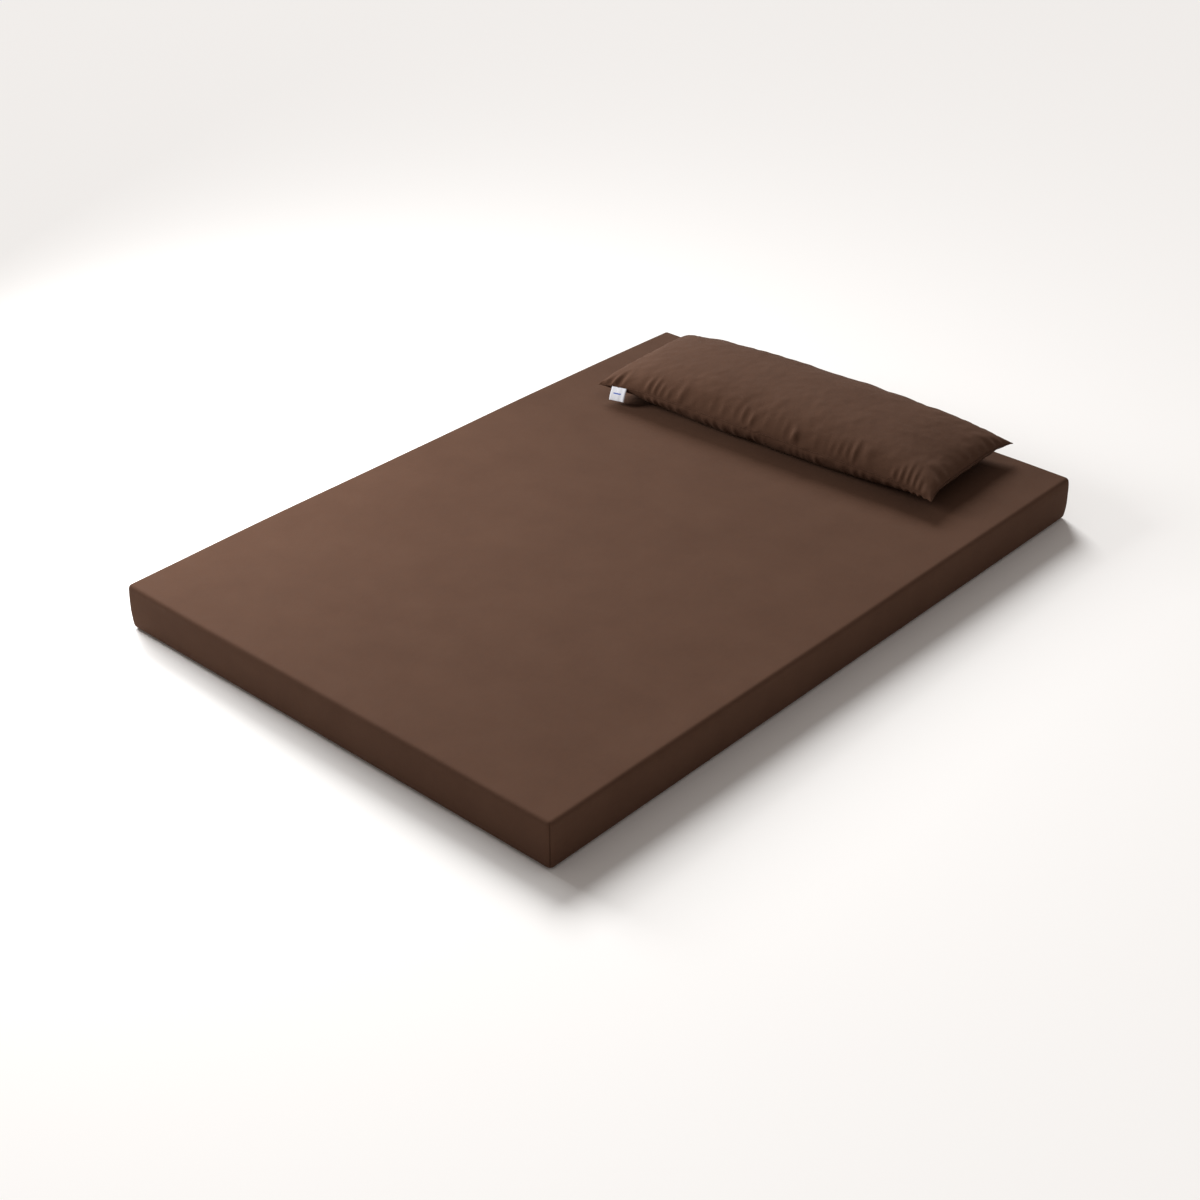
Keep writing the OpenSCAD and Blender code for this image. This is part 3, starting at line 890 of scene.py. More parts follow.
# the layers inside the cover, a little smaller than the CAD has them so that the slack cloth clears them
slabSettings = {
    "edgeSteps": (0, 1.5, 4, 8, 14, 22, 30),
    "heightSteps": (0, 1.2, 3.2, 6.0),
    "cell": 0.03,
    "heightCell": 0.01,
    "planRadius": 0.030,
    "clearance": 0.0006,
    "lumpRate": 9,
    "lumpSeed": 3.3,
}
foam = {"material": foamMaterial, "slot": "foam", "fill": 1.0, "lumps": 0.0003}
wadding = {"material": fibreMaterial, "slot": "wadding", "fill": 0.7, "lumps": 0.0012}
slabKinds = {
    "foamSlab": {**foam, "node": "foam_core", "upperRadius": 0.002, "lowerRadius": 0.002},
    "upperWadding": {**wadding, "node": "upper_wadding", "upperRadius": 0.008, "lowerRadius": 0.004},
    "lowerWadding": {**wadding, "node": "lower_wadding", "upperRadius": 0.004, "lowerRadius": 0.009},
}
linerKinds = {"linerTop": ("liner_top", "bottom"), "linerBase": ("liner_base", "top")}
linerShape = {"upperRadius": 0.009, "lowerRadius": 0.011, "lumps": 0.0004, "thickness": 0.0008}


def makeInnerLayers():
    gap = Vector((1, 1, 1)) * slabSettings["clearance"]
    for name, kind in slabKinds.items():
        low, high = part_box(kind["node"])
        slab = makeSlab(name, low + gap, high - gap, {**slabSettings, **kind})
        dress(slab, kind["material"], "mattress", kind["slot"], kind["node"])
    low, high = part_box("liner_base")[0] + gap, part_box("liner_top")[1] - gap
    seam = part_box("liner_top")[0].z
    for name, (node, openSide) in linerKinds.items():
        between = (seam, high.z) if openSide == "bottom" else (low.z, seam)
        liner = makeSlab(
            name, low, high, {**slabSettings, **linerShape}, lambda side, a, b: side != openSide, between
        )
        thicken(liner, linerShape["thickness"])
        dress(liner, liningMaterial, "mattress", "lining_cloth", node)


makeInnerLayers()
print("inner layers made")

baseSettings = {
    "cell": 0.03,
    "edgeSteps": (0, 3, 8, 16),
    "gap": 0.0004,
    "corner": 0.006,
    "height": 0.0002,
    "wave": 0.0005,
    "waveRate": 6,
    "waveSeed": 2.2,
    "thickness": 0.0014,
}


def makeBaseCloth(settings):
    # the panel that closes the cover underneath, sewn to the turned-under lip
    inset = Vector((1, 1, 0)) * (coverSettings["lip"] + settings["gap"])
    low, high = shellLow + inset, shellHigh - inset
    xs = gridLines(low.x, high.x, settings["edgeSteps"], settings["cell"])
    ys = gridLines(low.y, high.y, settings["edgeSteps"], settings["cell"])
    points, faces = boxLattice(xs, ys, (low.z, high.z), lambda side, a, b: side == "bottom")
    placed = []
    for place in points:
        point = slabPoint(place, low, high, settings["corner"], 0.0, 0.0)
        x, y = place.x * settings["waveRate"], place.y * settings["waveRate"]
        point.z = settings["height"] + settings["wave"] * (0.5 + 0.5 * wave(x, y, settings["waveSeed"]))
        placed.append(point)
    base = makeObject("baseCloth", placed, faces, [(place.x, place.y) for place in points])
    thicken(base, settings["thickness"])
    dress(base, cottonMaterial, "mattress", "cover_cloth", "cover_base")


makeBaseCloth(baseSettings)

cornerSeamSettings = {
    "spread": 0.0014,
    "thickness": 0.0011,
    "rows": 14,
    "flutter": 0.0008,
    "flutterRate": 40,
}
cornerSeams = {
    "cornerSeamFootLeft": "corner_seam_foot_left",
    "cornerSeamFootRight": "corner_seam_foot_right",
    "cornerSeamHeadLeft": "corner_seam_head_left",
    "cornerSeamHeadRight": "corner_seam_head_right",
}


def makeCornerSeam(name, node, settings):
    # the two seam allowances that stand inside an upright corner, joined where they are sewn
    low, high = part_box(node)
    middle = (low + high) / 2
    outward = Vector((math.copysign(1, middle.x), math.copysign(1, middle.y), 0)).normalized()
    across = Vector((-outward.y, outward.x, 0))
    reach = (Vector((high.x, high.y)) - Vector((low.x, low.y))).length
    profile = [(-0.5, 1.0), (-0.2, 1.0), (0.15, 0.9), (0.4, 0.6), (0.5, 0.0),
               (0.4, -0.6), (0.15, -0.9), (-0.2, -1.0), (-0.5, -1.0)]
    points, uvs = [], []
    for row in range(settings["rows"] + 1):
        z = low.z + (high.z - low.z) * row / settings["rows"]
        for out, aside in profile:
            flutter = wave(z * settings["flutterRate"], out, middle.x + middle.y)
            flutter = settings["flutter"] * flutter * (0.5 - out)
            point = middle + outward * out * reach + across * (aside * settings["spread"] / 2 + flutter)
            points.append((point.x, point.y, z))
            uvs.append((out * reach + aside * mm, z))
    seam = makeObject(name, points, stripFaces(settings["rows"], len(profile)), uvs)
    thicken(seam, settings["thickness"])
    dress(seam, cottonMaterial, "mattress", "cover_cloth", node)


for seamName, seamNode in cornerSeams.items():
    makeCornerSeam(seamName, seamNode, cornerSeamSettings)
print("base cloth and corner seams made")


def makeStitches(name, rows, settings):
    # rows of short stitches; each row is a list of (place, outward) that the needle follows
    points, faces = [], []
    shape = [(-0.5, 0.0), (-0.3, 1.0), (0.3, 1.0), (0.5, 0.0)]
    for row in rows:
        for (place, outward), (following, _) in zip(row[:-1], row[1:]):
            along = (following - place).normalized()
            aside = outward.cross(along).normalized()
            start = len(points)
            for step, girth in shape:
                centre = place + along * step * settings["length"] + outward * settings["proud"]
                for turn in range(4):
                    angle = math.pi / 2 * turn
                    round4 = (outward * math.sin(angle) + aside * math.cos(angle)) * settings["girth"] / 2
                    points.append(centre + round4 * (settings["tip"] + (1 - settings["tip"]) * girth))
            for ring in range(3):
                for turn in range(4):
                    a, b = start + ring * 4 + turn, start + ring * 4 + (turn + 1) % 4
                    faces.append((a, b, b + 4, a + 4))
            faces.append([start + turn for turn in (3, 2, 1, 0)])
            faces.append([start + 12 + turn for turn in range(4)])
    return makeObject(name, points, faces)


stitchSettings = {
    "spacing": 0.0035,
    "length": 0.0026,
    "girth": 0.0006,
    "tip": 0.15,             # how thick a stitch is where it enters the cloth
    "proud": 0.0001,
    "fromEdge": 0.0028,
    "acrossEnd": 5,          # stitches across each end of the slot
}


def makeCoverStitching(settings):
    count = round(2 * coverSlotEnd / settings["spacing"])
    rows = []
    for side in (1, -1):
        z = coverZipHeight + side * (coverSlotHalf + settings["fromEdge"])
        xs = [-coverSlotEnd + 2 * coverSlotEnd * i / count for i in range(count + 1)]
        places = [coverPoint(Vector((x, shellHigh.y, z)), coverSettings) for x in xs]
        rows.append([(place, Vector((0, 1, 0))) for place in places])
        x = side * (coverSlotEnd + settings["fromEdge"])
        halfEnd = coverSlotHalf + settings["fromEdge"]
        zs = np.linspace(-1, 1, settings["acrossEnd"] + 1) * halfEnd + coverZipHeight
        places = [coverPoint(Vector((x, shellHigh.y, z)), coverSettings) for z in zs]
        rows.append([(place, Vector((0, 1, 0))) for place in places])
    stitching = makeStitches("coverZipStitching", rows, settings)
    dress(stitching, threadMaterial, "mattress", "cover_cloth")


makeCoverStitching(stitchSettings)

zipSettings = {
    "pitch": 0.0016,
    "wire": 0.00036,         # radius of the nylon wire
    "crossing": 0.0005,      # how far the turns of each half reach past the middle
    "perTurn": 8,
    "cordShare": 0.62,
    "cordClear": 0.0005,
    "cordSides": 8,
}


def makeCoil(name, node, place, side, body, settings):
    # one half of a zip: nylon wire wound in flat turns that reach just past the middle
    low, high = localBox(node, place)
    otherNode = node.replace("upper", "lower") if side > 0 else node.replace("lower", "upper")
    otherLow, otherHigh = localBox(otherNode, place)
    middleZ = (min(low.z, otherLow.z) + max(high.z, otherHigh.z)) / 2
    wire = settings["wire"]
    outer = high.z if side > 0 else low.z
    tip = middleZ - side * settings["crossing"]
    centreY, centreZ = (low.y + high.y) / 2, (outer + tip) / 2
    halfY, halfZ = (high.y - low.y) / 2 - wire, abs(outer - tip) / 2 - wire
    turns = int((high.x - low.x - 2 * wire) / settings["pitch"]) - 1
    angles = np.arange(turns * settings["perTurn"] + 1) * 2 * math.pi / settings["perTurn"]
    startX = low.x + wire + (settings["pitch"] / 2 if side < 0 else 0)
    path = np.stack([
        startX + settings["pitch"] * angles / (2 * math.pi),
        centreY + halfY * np.sin(angles),
        centreZ + halfZ * np.cos(angles),
    ], axis=-1)
    tangent = np.gradient(path, axis=0)
    tangent /= np.linalg.norm(tangent, axis=1)[:, None]
    first = np.cross(tangent, (1.0, 0.0, 0.0))
    first /= np.linalg.norm(first, axis=1)[:, None]
    second = np.cross(tangent, first)
    corners = [path + wire * first, path + wire * second, path - wire * first, path - wire * second]
    rings = np.stack(corners, axis=1)
    points = [place @ Vector(point) for point in rings.reshape(-1, 3)]
    start = 4 * np.arange(len(path) - 1)[:, None] + np.arange(4)[None, :]
    following = 4 * np.arange(len(path) - 1)[:, None] + (np.arange(4)[None, :] + 1) % 4
    faces = np.stack([start, following, following + 4, start + 4], axis=-1).reshape(-1, 4).tolist()
    faces += [[3, 2, 1, 0], [len(points) - 4 + turn for turn in range(4)]]
    # the filler cord that the coil is wound round
    cordZ = [middleZ + side * settings["cordClear"], outer - side * wire]
    cordHalf = halfY * settings["cordShare"]
    sides = settings["cordSides"]
    around = [(math.cos(a), math.sin(a)) for a in np.arange(sides) * 2 * math.pi / sides]
    base = len(points)
    for x in (low.x + wire, high.x - wire):
        for across, up in around:
            z = (cordZ[0] + cordZ[1]) / 2 + up * abs(cordZ[1] - cordZ[0]) / 2
            points.append(place @ Vector((x, centreY + across * cordHalf, z)))
    far = base + sides
    faces += [[base + k, base + (k + 1) % sides, far + (k + 1) % sides, far + k] for k in range(sides)]
    faces += [[base + k for k in reversed(range(sides))], [far + k for k in range(sides)]]
    coil = makeObject(name, points, faces)
    dress(coil, coilMaterial, body, "zip_coil", node)


guardSettings = {
    "height": 0.034,
    "clear": 0.0005,
    "thickness": 0.0004,
    "past": 0.004,           # length past each end of the tapes
    "cell": 0.008,
    "rows": 4,
    "flutter": 0.00012,
    "flutterRates": (20, 60),
    "flutterSeed": 3.0,
}


def makeZipGuard(name, place, stem, body, settings):
    # a strip of cloth behind the zip that keeps the lining out of the coils
    sliderLow = localBox(stem + "_zip_slider", place)[0]
    tapeLow, tapeHigh = localBox(stem + "_zip_tape_upper", place)
    stopsLow, stopsHigh = localBox(stem + "_zip_stops", place)
    middleZ = (stopsLow.z + stopsHigh.z) / 2
    front = sliderLow.y - settings["clear"]
    columns = round((tapeHigh.x - tapeLow.x) / settings["cell"])
    length = tapeHigh.x - tapeLow.x + 2 * settings["past"]
    rows = settings["rows"]
    rateX, rateZ = settings["flutterRates"]
    points, uvs = [], []
    for column in range(columns + 1):
        x = tapeLow.x - settings["past"] + length * column / columns
        for row in range(rows + 1):
            z = middleZ + settings["height"] * (row / rows - 0.5)
            y = front - settings["flutter"] * (1 + wave(x * rateX, z * rateZ, settings["flutterSeed"]))
            points.append(place @ Vector((x, y, z)))
            uvs.append((x, z))
    guard = makeObject(name, points, stripFaces(columns, rows + 1), uvs)
    thicken(guard, settings["thickness"])
    dress(guard, cottonMaterial, body, "cover_cloth")
    # all of the strip lies in front of this
    return front - 3 * settings["flutter"] - settings["thickness"]


for zipName, zipPlace, zipBody in (("cover", mattressPlace, "mattress"), ("pillow", pillowPlace, "pillow")):
    makeCoil(zipName + "ZipCoilUpper", zipName + "_zip_coil_upper", zipPlace, 1, zipBody, zipSettings)
    makeCoil(zipName + "ZipCoilLower", zipName + "_zip_coil_lower", zipPlace, -1, zipBody, zipSettings)
    guardBack = makeZipGuard(zipName + "ZipGuard", zipPlace, zipName, zipBody, guardSettings)
    paint(coilMaterial, zipName + "_zip_coil_upper", zipName + "_zip_coil_lower")
    paint(tapeMaterial, zipName + "_zip_tape_upper", zipName + "_zip_tape_lower")
    paint(metalMaterial, zipName + "_zip_stops", zipName + "_zip_slider", zipName + "_zip_pull")
print("zips made")

pillowSettings = {
    "flatLength": 1.20,
    "flatWidth": 0.44,
    "cell": 0.0075,
    "cornerLength": 1.09,
    "cornerWidth": 0.416,
    "crown": 0.0845,
    "longDent": 0.018,
    "shortDent": 0.014,
    "cornerDrop": 0.012,
    "roundness": 2.6,
    "underGap": 0.002,       # between the underside and the mattress before the cloth settles
    "underSteepness": 1.5,
    "zipInset": (1.0, 0.9),  # mm the cloth's edge stands off the tapes, and how much less beside it
    "zipSpread": 1.05,
    "flatGap": 0.0005,
    "gatherSpacing": 0.036,
    "gatherHeight": 0.0074,
    "gatherReach": 0.085,
    "reachVaries": (0.8, 1.1, 11),       # mean, how far it wanders and how often
    "phaseVaries": (0, 1.6, 8),
    "strengthVaries": (0.75, 1.9, 12),
    "leastStrength": 0.1,
    "seamFade": 0.010,
    "endFade": (0.015, 0.07),
    "backShare": 0.3,        # how strong the gathers are along the zip and at the ends
    "endShare": 0.45,
    "lumpHeight": 0.0035,
    "lumpScale": 11.0,
    "creaseHeight": 0.0012,
    "creaseScale": 34.0,
    "undersideShare": 0.6,   # how strong they are underneath, and how much they push the sides out
    "outwardShare": 0.5,
    "bareTape": 0.0032,
    "sewnTape": 0.0055,      # tape under the cloth past the end of the slot
    "thickness": 0.0008,
}
pillowTapeLow, pillowTapeHigh = localBox("pillow_zip_tape_upper", pillowPlace)
pillowStopsLow, pillowStopsHigh = localBox("pillow_zip_stops", pillowPlace)
seamHeight = (pillowStopsLow.z + pillowStopsHigh.z) / 2
zipFace = pillowTapeHigh.y
zipSlotHalf = pillowTapeLow.z - seamHeight + pillowSettings["bareTape"]
zipSlotEnd = pillowTapeHigh.x - pillowSettings["sewnTape"]
zipSlotLimit = zipSlotEnd + 0.1 * mm     # takes in the column that lies at the slot's end


def fullness(t, roundness):
    return np.sqrt(np.maximum(0, 1 - np.abs(t) ** roundness))


def evenSteps(profile, count):
    # spreads count + 1 values of t from -1 to 1 so that they lie evenly along the profile's own curve
    t = np.linspace(-1, 1, 4001)
    across, upward = profile(t)
    steps = np.hypot(np.diff(across), np.diff(upward))
    travelled = np.concatenate([[0], np.cumsum(steps)])
    return np.interp(np.linspace(0, travelled[-1], count + 1), travelled, t)


def moveColumns(values, column, target):
    # slides a grid's columns a little so that one on each side lies at the target
    here = values[column]
    return np.interp(values, [values[0], -here, here, values[-1]], [values[0], -target, target, values[-1]])


def slotColumn(s, settings):
    # the column nearest to the right-hand end of the zip's slot
    return int(np.argmin(np.abs(s - 2 * zipSlotEnd / settings["cornerLength"])))


def pillowHalf(side, settings, countX, countY):
    # start shape of one panel: crown for side 1, and the underside, flat where it lies, for side -1
    halfLength, halfWidth = settings["cornerLength"] / 2, settings["cornerWidth"] / 2
    depth = seamHeight - settings["underGap"]
    roundness = settings["roundness"]

    def lift(s, t):
        full = fullness(s, roundness) * fullness(t, roundness)
        if side > 0:
            return settings["crown"] * full
        deepest = depth - settings["cornerDrop"] * s ** 6 * t ** 4
        return -np.minimum(deepest, settings["underSteepness"] * depth * full)

    s = evenSteps(lambda v: (v * (halfLength - settings["shortDent"]), lift(v, 0 * v)), countX)
    s = moveColumns(s, slotColumn(s, settings), zipSlotEnd / halfLength)
    t = evenSteps(lambda v: (v * (halfWidth - settings["longDent"]), lift(0 * v, v)), countY)
    s, t = np.meshgrid(s, t, indexing="ij")
    x = s * (halfLength - settings["shortDent"] * (1 - t ** 4))
    y = t * (halfWidth - settings["longDent"] * (1 - s ** 8))
    z = seamHeight - settings["cornerDrop"] * s ** 6 * t ** 4 + lift(s, t)
    return np.stack([x, y, z], axis=-1)


def buildPillowPanels(settings):
    countX = round(settings["flatLength"] / settings["cell"])
    countY = round(settings["flatWidth"] / settings["cell"])
    panels = {side: pillowHalf(side, settings, countX, countY) for side in (1, -1)}
    flatX = np.linspace(-settings["flatLength"] / 2, settings["flatLength"] / 2, countX + 1)
    flatY = np.linspace(-settings["flatWidth"] / 2, settings["flatWidth"] / 2, countY + 1)
    standOff, nearer = settings["zipInset"]
    points, flats, pinned, index = [], [], [], {}
    for side in (1, -1):
        for i in range(countX + 1):
            for j in range(countY + 1):
                onRim = i in (0, countX) or j in (0, countY)
                place = panels[side][i, j].copy()
                inZip = j >= countY - 1 and abs(place[0]) < zipSlotLimit
                if onRim and side < 0 and not (j == countY and inZip):
                    index[side, i, j] = index[1, i, j]
                    continue
                if inZip:
                    beyond = countY - j
                    place[1] = zipFace + (standOff - nearer * beyond) * mm
                    fromMiddle = zipSlotHalf + beyond * settings["zipSpread"] * settings["cell"]
                    place[2] = seamHeight + side * fromMiddle
                    pinned.append(len(points))
                index[side, i, j] = len(points)
                points.append(place)
                flats.append((flatX[i], flatY[j], side * settings["flatGap"] * (not onRim)))
    faces = []
    for side in (1, -1):
        for i in range(countX):
            for j in range(countY):
                a, b = index[side, i, j], index[side, i + 1, j]
                c, d = index[side, i + 1, j + 1], index[side, i, j + 1]
                faces.append((a, b, c, d) if side > 0 else (a, d, c, b))
    grids = {
        side: np.array([[index[side, i, j] for j in range(countY + 1)] for i in range(countX + 1)])
        for side in (1, -1)
    }
    return np.array(points), np.array(flats), faces, pinned, grids


def vary(along, shape, seed):
    mean, amount, rate = shape
    return mean + amount * wave(along * rate, 0.0, seed)


def gatherWave(along, fromSeam, fromEnd, seed, settings):
    # one side's gathers: unevenly spaced ridges that start at the seam and die away from it
    reach = settings["gatherReach"] * vary(along, settings["reachVaries"], seed)
    phase = along / settings["gatherSpacing"] + vary(along, settings["phaseVaries"], seed + 3)
    strength = max(settings["leastStrength"], vary(along, settings["strengthVaries"], seed + 6))
    fade = smooth(reach, 0, fromSeam) * smooth(0, settings["seamFade"], fromSeam)
    fade *= smooth(*settings["endFade"], fromEnd)
    return math.sin(2 * math.pi * phase) * strength * fade


def roughen(points, flats, settings):
    # gathers along the seams and lumps of stuffing, for the simulation to settle
    halfLength, halfWidth = settings["flatLength"] / 2, settings["flatWidth"] / 2
    moved = points.copy()
    for k, (x, y, side) in enumerate(flats):
        if side == 0:
            continue
        up = 1 if side > 0 else -1
        fromLong, fromShort = halfWidth - abs(y), halfLength - abs(x)
        longShare = settings["backShare"] if y > 0 else 1.0
        ridges = gatherWave(x, fromLong, fromShort, 2.0 + up, settings) * longShare
        endSeed = 20.0 + up + (5 if x > 0 else 0)
        ridges += settings["endShare"] * gatherWave(y, fromShort, fromLong, endSeed, settings)
        lumps = wave(x * settings["lumpScale"], y * settings["lumpScale"], 31.0 + up)
        creases = wave(x * settings["creaseScale"], y * settings["creaseScale"], 41.0 + up)
        rise = settings["gatherHeight"] * ridges + settings["lumpHeight"] * lumps
        rise += settings["creaseHeight"] * creases
        outwards = math.copysign(settings["outwardShare"] * rise, y)
        moved[k, 2] += up * rise * (1.0 if up > 0 else settings["undersideShare"])
        moved[k, 1] += outwards * smooth(0.5, 1.0, abs(y) / halfWidth)
    return moved


clothSettings = {
    "quality": 6,
    "mass": 0.05,
    "air_damping": 2.0,
    "tension_stiffness": 22.0,
    "compression_stiffness": 25.0,
    "shear_stiffness": 6.0,
    "bending_stiffness": 0.06,
    "tension_damping": 8,
    "compression_damping": 8,
    "shear_damping": 8,
    "bending_damping": 0.5,
    "use_pressure": True,
    "uniform_pressure_force": 0.0,
    "pressure_factor": 60.0,
}
simulationSettings = {
    "frames": 14,
    "gravity": 0.01,
    "clothGap": 0.001,
    "collisionQuality": 3,
    "tableHalf": (1.2, 1.4),
    "tableGap": 0.001,
    "tableThickness": 0.001,
    "friction": 20,
}


def simulatePillow(obj, flats, pinned, settings):
    obj.shape_key_add(name="inflated")
    flatKey = obj.shape_key_add(name="flat")
    flatKey.data.foreach_set("co", flats.astype(np.float32).ravel())
    flatKey.value = 0
    group = obj.vertex_groups.new(name="sewnToZip")
    group.add(pinned, 1.0, "REPLACE")
    table = makeRectangle("pillowTable", *settings["tableHalf"], mattressTop + settings["tableGap"])
    table.modifiers.new("collision", "COLLISION")
    table.collision.thickness_outer = settings["tableThickness"]
    table.collision.cloth_friction = settings["friction"]
    cloth = obj.modifiers.new("cloth", "CLOTH")
    for key, value in clothSettings.items():
        setattr(cloth.settings, key, value)
    cloth.settings.vertex_group_mass = group.name
    cloth.settings.rest_shape_key = flatKey
    cloth.settings.effector_weights.gravity = settings["gravity"]
    cloth.collision_settings.distance_min = settings["clothGap"]
    cloth.collision_settings.collision_quality = settings["collisionQuality"]
    cloth.collision_settings.use_self_collision = False
    cloth.point_cache.frame_start = 1
    cloth.point_cache.frame_end = settings["frames"]
    for frameNumber in range(1, settings["frames"] + 1):
        scene.frame_set(frameNumber)
    depsgraph = bpy.context.evaluated_depsgraph_get()
    evaluated = obj.evaluated_get(depsgraph)
    result = np.empty(len(obj.data.vertices) * 3, dtype=np.float32)
    evaluated.data.vertices.foreach_get("co", result)
    result = result.reshape(-1, 3).copy()
    scene.frame_set(1)
    bpy.data.objects.remove(obj)
    bpy.data.objects.remove(table)
    return result


def makePillow(settings):
    points, flats, faces, pinned, grids = buildPillowPanels(settings)
    points = roughen(points, flats, settings)
    placed = np.array([pillowPlace @ Vector(point) for point in points])
    trial = makeObject("pillowTrial", placed, faces)
    placed = simulatePillow(trial, flats, pinned, simulationSettings)
    pillow = makeObject("pillowCase", placed, faces, flats[:, :2])
    subdivision = pillow.modifiers.new("subdivision", "SUBSURF")
    subdivision.levels = 1
    applyModifiers(pillow)
    thicken(pillow, settings["thickness"])
    toPillow = pillowPlace.inverted()
    local = np.array([toPillow @ Vector(point) for point in placed])
    return pillow, {side: local[grid] for side, grid in grids.items()}


pillowCase, pillowGrids = makePillow(pillowSettings)
dress(pillowCase, cottonMaterial, "pillow", "cover_cloth", "pillowcase_top", "pillowcase_base")
print("pillow case made:", len(pillowCase.data.vertices), "points")


seamSettings = {"halfWidth": 0.0017, "halfThickness": 0.0008, "out": 0.0006, "around": 6, "runOn": 0.45}


def makePillowSeam(settings):
    # the sewn edge all round, from one end of the zip to the other
    top = pillowGrids[1]
    rim = np.concatenate([top[:-1, 0], top[-1, :-1], top[:0:-1, -1], top[0, :0:-1]])
    inZip = (np.abs(rim[:, 0]) < zipSlotLimit) & (rim[:, 1] > 0)
    start = int(np.flatnonzero(inZip)[-1]) + 1
    path = np.roll(rim, -start, axis=0)[:len(rim) - int(inZip.sum())]
    for _ in range(2):
        path[1:-1] = (path[:-2] + 2 * path[1:-1] + path[2:]) / 4
    # both ends run on to the tips of the slot
    path[0] += settings["runOn"] * (path[0] - path[1])
    path[-1] += settings["runOn"] * (path[-1] - path[-2])
    along = np.gradient(path, axis=0)
    along /= np.linalg.norm(along, axis=1)[:, None]
    out = np.cross(along, (0.0, 0.0, 1.0))
    out /= np.linalg.norm(out, axis=1)[:, None]
    up = np.cross(out, along)
    angles = 2 * math.pi * np.arange(settings["around"]) / settings["around"]
    across = settings["out"] + settings["halfWidth"] * np.cos(angles)
    above = settings["halfThickness"] * np.sin(angles)
    rings = path[:, None] + out[:, None] * across[None, :, None]
    rings = rings + up[:, None] * above[None, :, None]
    count, around = len(path), settings["around"]
    points = [pillowPlace @ Vector(point) for point in rings.reshape(-1, 3)]
    faces = []
    for k in range(count - 1):
        for turn in range(around):
            a, b = k * around + turn, k * around + (turn + 1) % around
            faces.append((a, a + around, b + around, b))
    faces += [list(range(around)), [(count - 1) * around + turn for turn in range(around - 1, -1, -1)]]
    travelled = np.concatenate([[0], np.cumsum(np.linalg.norm(np.diff(path, axis=0), axis=1))])
    uvs = [(travelled[k], turn * mm) for k in range(count) for turn in range(around)]
    seam = makeObject("pillowSeam", points, faces, uvs)
    dress(seam, cottonMaterial, "pillow", "cover_cloth", "pillowcase_seam")


makePillowSeam(seamSettings)


def slideWindow(values, reach, pick):
    # the lowest or highest value within reach cells of each point of a grid
    padded = np.pad(values, reach, mode="edge")
    windows = [
        padded[a:a + values.shape[0], b:b + values.shape[1]]
        for a in range(2 * reach + 1) for b in range(2 * reach + 1)
    ]
    return pick(np.stack(windows), axis=0)


def innerForm(gap, border, settings):
    # the two faces of what lies inside the case, gap in from it all over
    top, base = pillowGrids[1], pillowGrids[-1]
    upper = slideWindow(top[..., 2], settings["window"], np.min) - gap
    lower = slideWindow(base[..., 2], settings["window"], np.max) + gap
    plan = (top[..., :2] + base[..., :2]) / 2
    middle = (upper + lower) / 2
    upper = np.maximum(upper, middle + settings["least"])
    lower = np.minimum(lower, middle - settings["least"])
    inside = (slice(border, -border), slice(border, -border))
    plan = plan * (1 - gap / settings["halfWidth"])
    plan[..., 1] = np.minimum(plan[..., 1], guardBack - gap)
    faceTop = np.concatenate([plan, upper[..., None]], axis=-1)[inside]
    faceBase = np.concatenate([plan, lower[..., None]], axis=-1)[inside]
    rim = np.zeros(faceTop.shape[:2], dtype=bool)
    rim[[0, -1], :] = rim[:, [0, -1]] = True
    faceTop[rim] = faceBase[rim] = ((faceTop + faceBase) / 2)[rim]
    return faceTop, faceBase


def gridMesh(name, sheets):
    # one mesh of several grids with the same rim, each (points, whether it faces up)
    rows, columns = sheets[0][0].shape[:2]
    points, uvs, faces, rimIndex = [], [], [], {}
    for sheetPoints, up in sheets:
        index = np.empty((rows, columns), dtype=int)
        for i in range(rows):
            for j in range(columns):
                onRim = i in (0, rows - 1) or j in (0, columns - 1)
                if onRim and (i, j) in rimIndex:
                    index[i, j] = rimIndex[i, j]
                    continue
                index[i, j] = len(points)
                if onRim:
                    rimIndex[i, j] = len(points)
                points.append(pillowPlace @ Vector(sheetPoints[i, j]))
                uvs.append(tuple(sheetPoints[i, j, :2]))
        for i in range(rows - 1):
            for j in range(columns - 1):
                face = [index[i, j], index[i + 1, j], index[i + 1, j + 1], index[i, j + 1]]
                faces.append(face if up else face[::-1])
    return makeObject(name, points, faces, uvs)


innerSettings = {
    "bagGap": 0.0022,
    "fillingGap": 0.004,
    "window": 2,             # cells round a point that the gap is kept from
    "border": 3,             # cells left out along the case's edge
    "least": 0.0002,         # half of the least height between the two faces
    "halfWidth": 0.2,
    "bagThickness": 0.0007,
}


def makePillowInside(settings):
    bagTop, bagBase = innerForm(settings["bagGap"], settings["border"], settings)
    halves = (
        ("pillowBagTop", bagTop, True, "pillow_bag_top"),
        ("pillowBagBase", bagBase, False, "pillow_bag_base"),
    )
    for name, sheet, up, node in halves:
        bag = gridMesh(name, [(sheet, up)])
        thicken(bag, settings["bagThickness"])
        dress(bag, liningMaterial, "pillow", "lining_cloth", node)
    fillTop, fillBase = innerForm(settings["fillingGap"], settings["border"] + 1, settings)
    filling = gridMesh("pillowFilling", [(fillTop, True), (fillBase, False)])
    dress(filling, fibreMaterial, "pillow", "wadding", "pillow_filling")


makePillowInside(innerSettings)
print("pillow seam, inner bag and filling made")


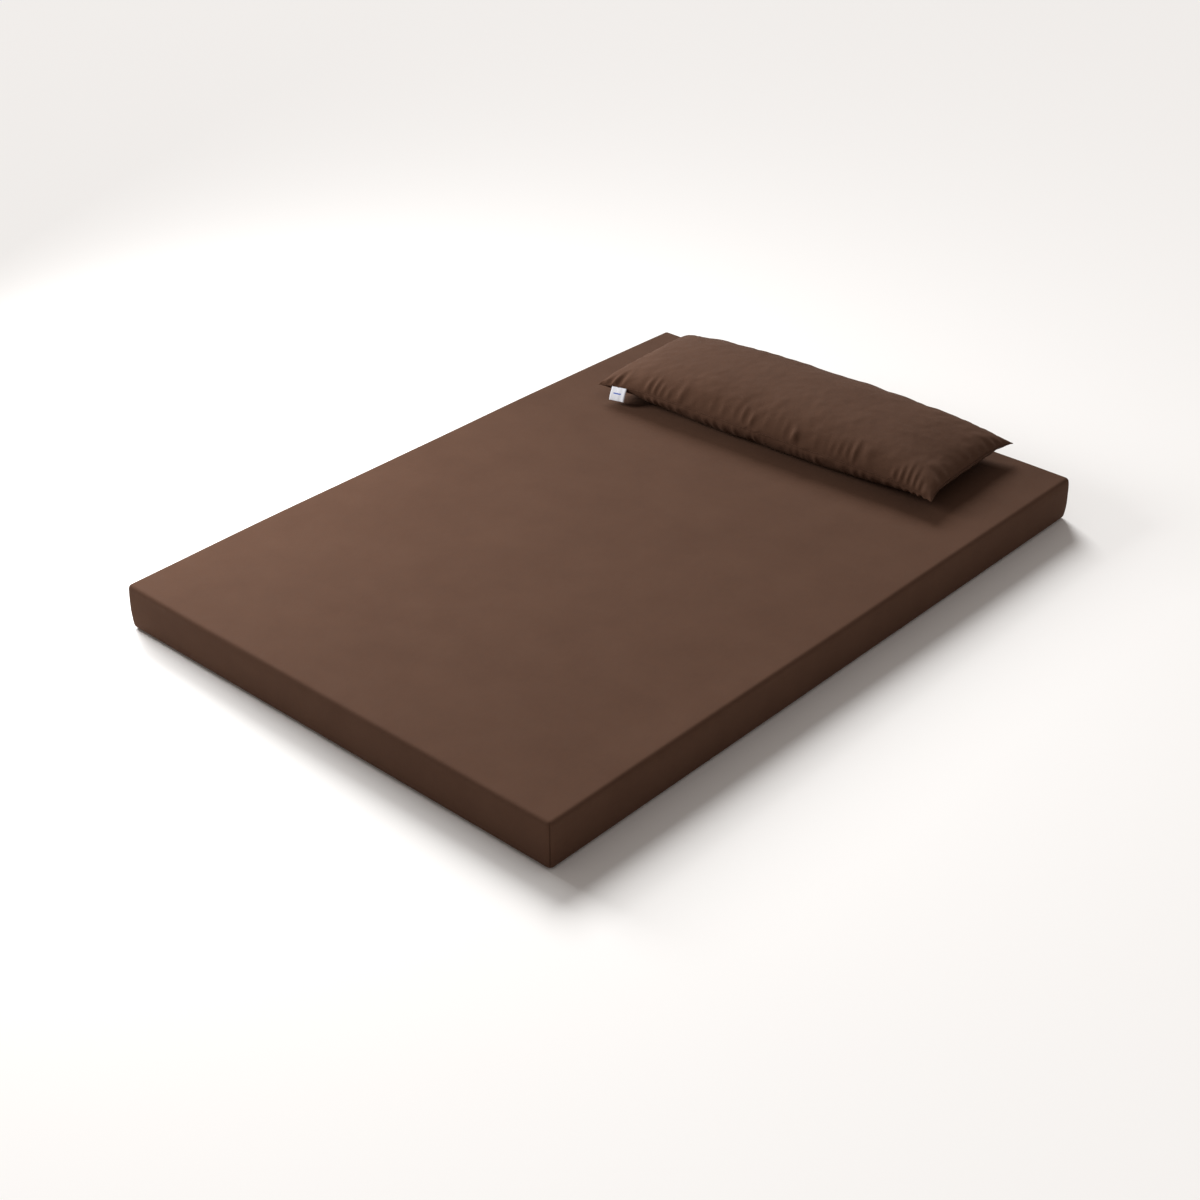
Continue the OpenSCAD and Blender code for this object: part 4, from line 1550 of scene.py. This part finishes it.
def makePillowStitching(settings):
    # both rows lie on the cloth as it has settled, each point found from outside
    count = round(2 * zipSlotEnd / settings["spacing"])
    outward = (pillowPlace.to_3x3() @ Vector((0, 1, 0))).normalized()
    surface = BVHTree.FromObject(pillowCase, bpy.context.evaluated_depsgraph_get())
    rows = []
    for side in (1, -1):
        z = seamHeight + side * (zipSlotHalf + settings["fromEdge"])
        row = []
        for i in range(count + 1):
            x = -zipSlotEnd + 2 * zipSlotEnd * i / count
            outside = pillowPlace @ Vector((x, zipFace + settings["lookFrom"], z))
            found = surface.ray_cast(outside, -outward, 2 * settings["lookFrom"])
            if found[0]:
                row.append((found[0], outward))
        rows.append(row)
    stitching = makeStitches("pillowZipStitching", rows, settings)
    dress(stitching, threadMaterial, "pillow", "cover_cloth")


makePillowStitching({**stitchSettings, "lookFrom": 0.02})

labelSettings = {
    "slope": 68,
    "fold": 0.0006,
    "thickness": 0.00035,
    "columns": 12,
    "rows": 9,
    "curl": 0.0012,
    "curlShape": (0.6, 2.2, 0.5),    # mean, and the rate and start of its change across
}


def makeLabel(settings):
    # a folded ribbon caught in the front seam, hanging off it
    low, high = localBox("pillow_label", pillowPlace)
    frontSeam = pillowGrids[1][:, 0]
    slope = math.radians(settings["slope"])
    drop = (high.z - low.z) / math.sin(slope)
    down = Vector((0, -math.cos(slope), -math.sin(slope)))
    face = Vector((0, -math.sin(slope), math.cos(slope)))
    fold, rows = settings["fold"], settings["rows"]
    straight = drop - fold
    mean, rate, startAngle = settings["curlShape"]
    profile = [(straight * k / rows, fold) for k in range(rows + 1)]
    turns = (math.pi / 4, math.pi / 2, 3 * math.pi / 4)
    profile += [(straight + fold * math.sin(a), fold * math.cos(a)) for a in turns]
    profile += [(straight * (1 - k / rows), -fold) for k in range(rows + 1)]
    points, uvs = [], []
    width = high.x - low.x
    for column in range(settings["columns"] + 1):
        across = column / settings["columns"]
        x = low.x + width * across
        seam = Vector((x, *(np.interp(x, frontSeam[:, 0], frontSeam[:, axis]) for axis in (1, 2))))
        travelled = 0.0
        for k, (along, aside) in enumerate(profile):
            if k:
                travelled += math.hypot(along - profile[k - 1][0], aside - profile[k - 1][1])
            bend = settings["curl"] * math.sin(math.pi * along / drop)
            bend *= mean + math.sin(rate * across + startAngle)
            points.append(pillowPlace @ (seam + down * along + face * (aside + bend)))
            uvs.append((width * across, travelled))
    label = makeObject("pillowLabel", points, stripFaces(settings["columns"], len(profile)), uvs)
    thicken(label, settings["thickness"])
    dress(label, ribbonMaterial, "pillow", "label_ribbon", "pillow_label")


makeLabel(labelSettings)
print("label made")

# the hidden CAD solids carry the finishes of the pieces that stand for them
paint(cottonMaterial, "cover_shell", "cover_base", *cornerSeams.values())
paint(cottonMaterial, "pillowcase_top", "pillowcase_base", "pillowcase_seam")
paint(liningMaterial, "liner_top", "liner_base", "pillow_bag_top", "pillow_bag_base")
paint(fibreMaterial, "upper_wadding", "lower_wadding", "pillow_filling")
paint(foamMaterial, "foam_core")
paint(ribbonMaterial, "pillow_label")
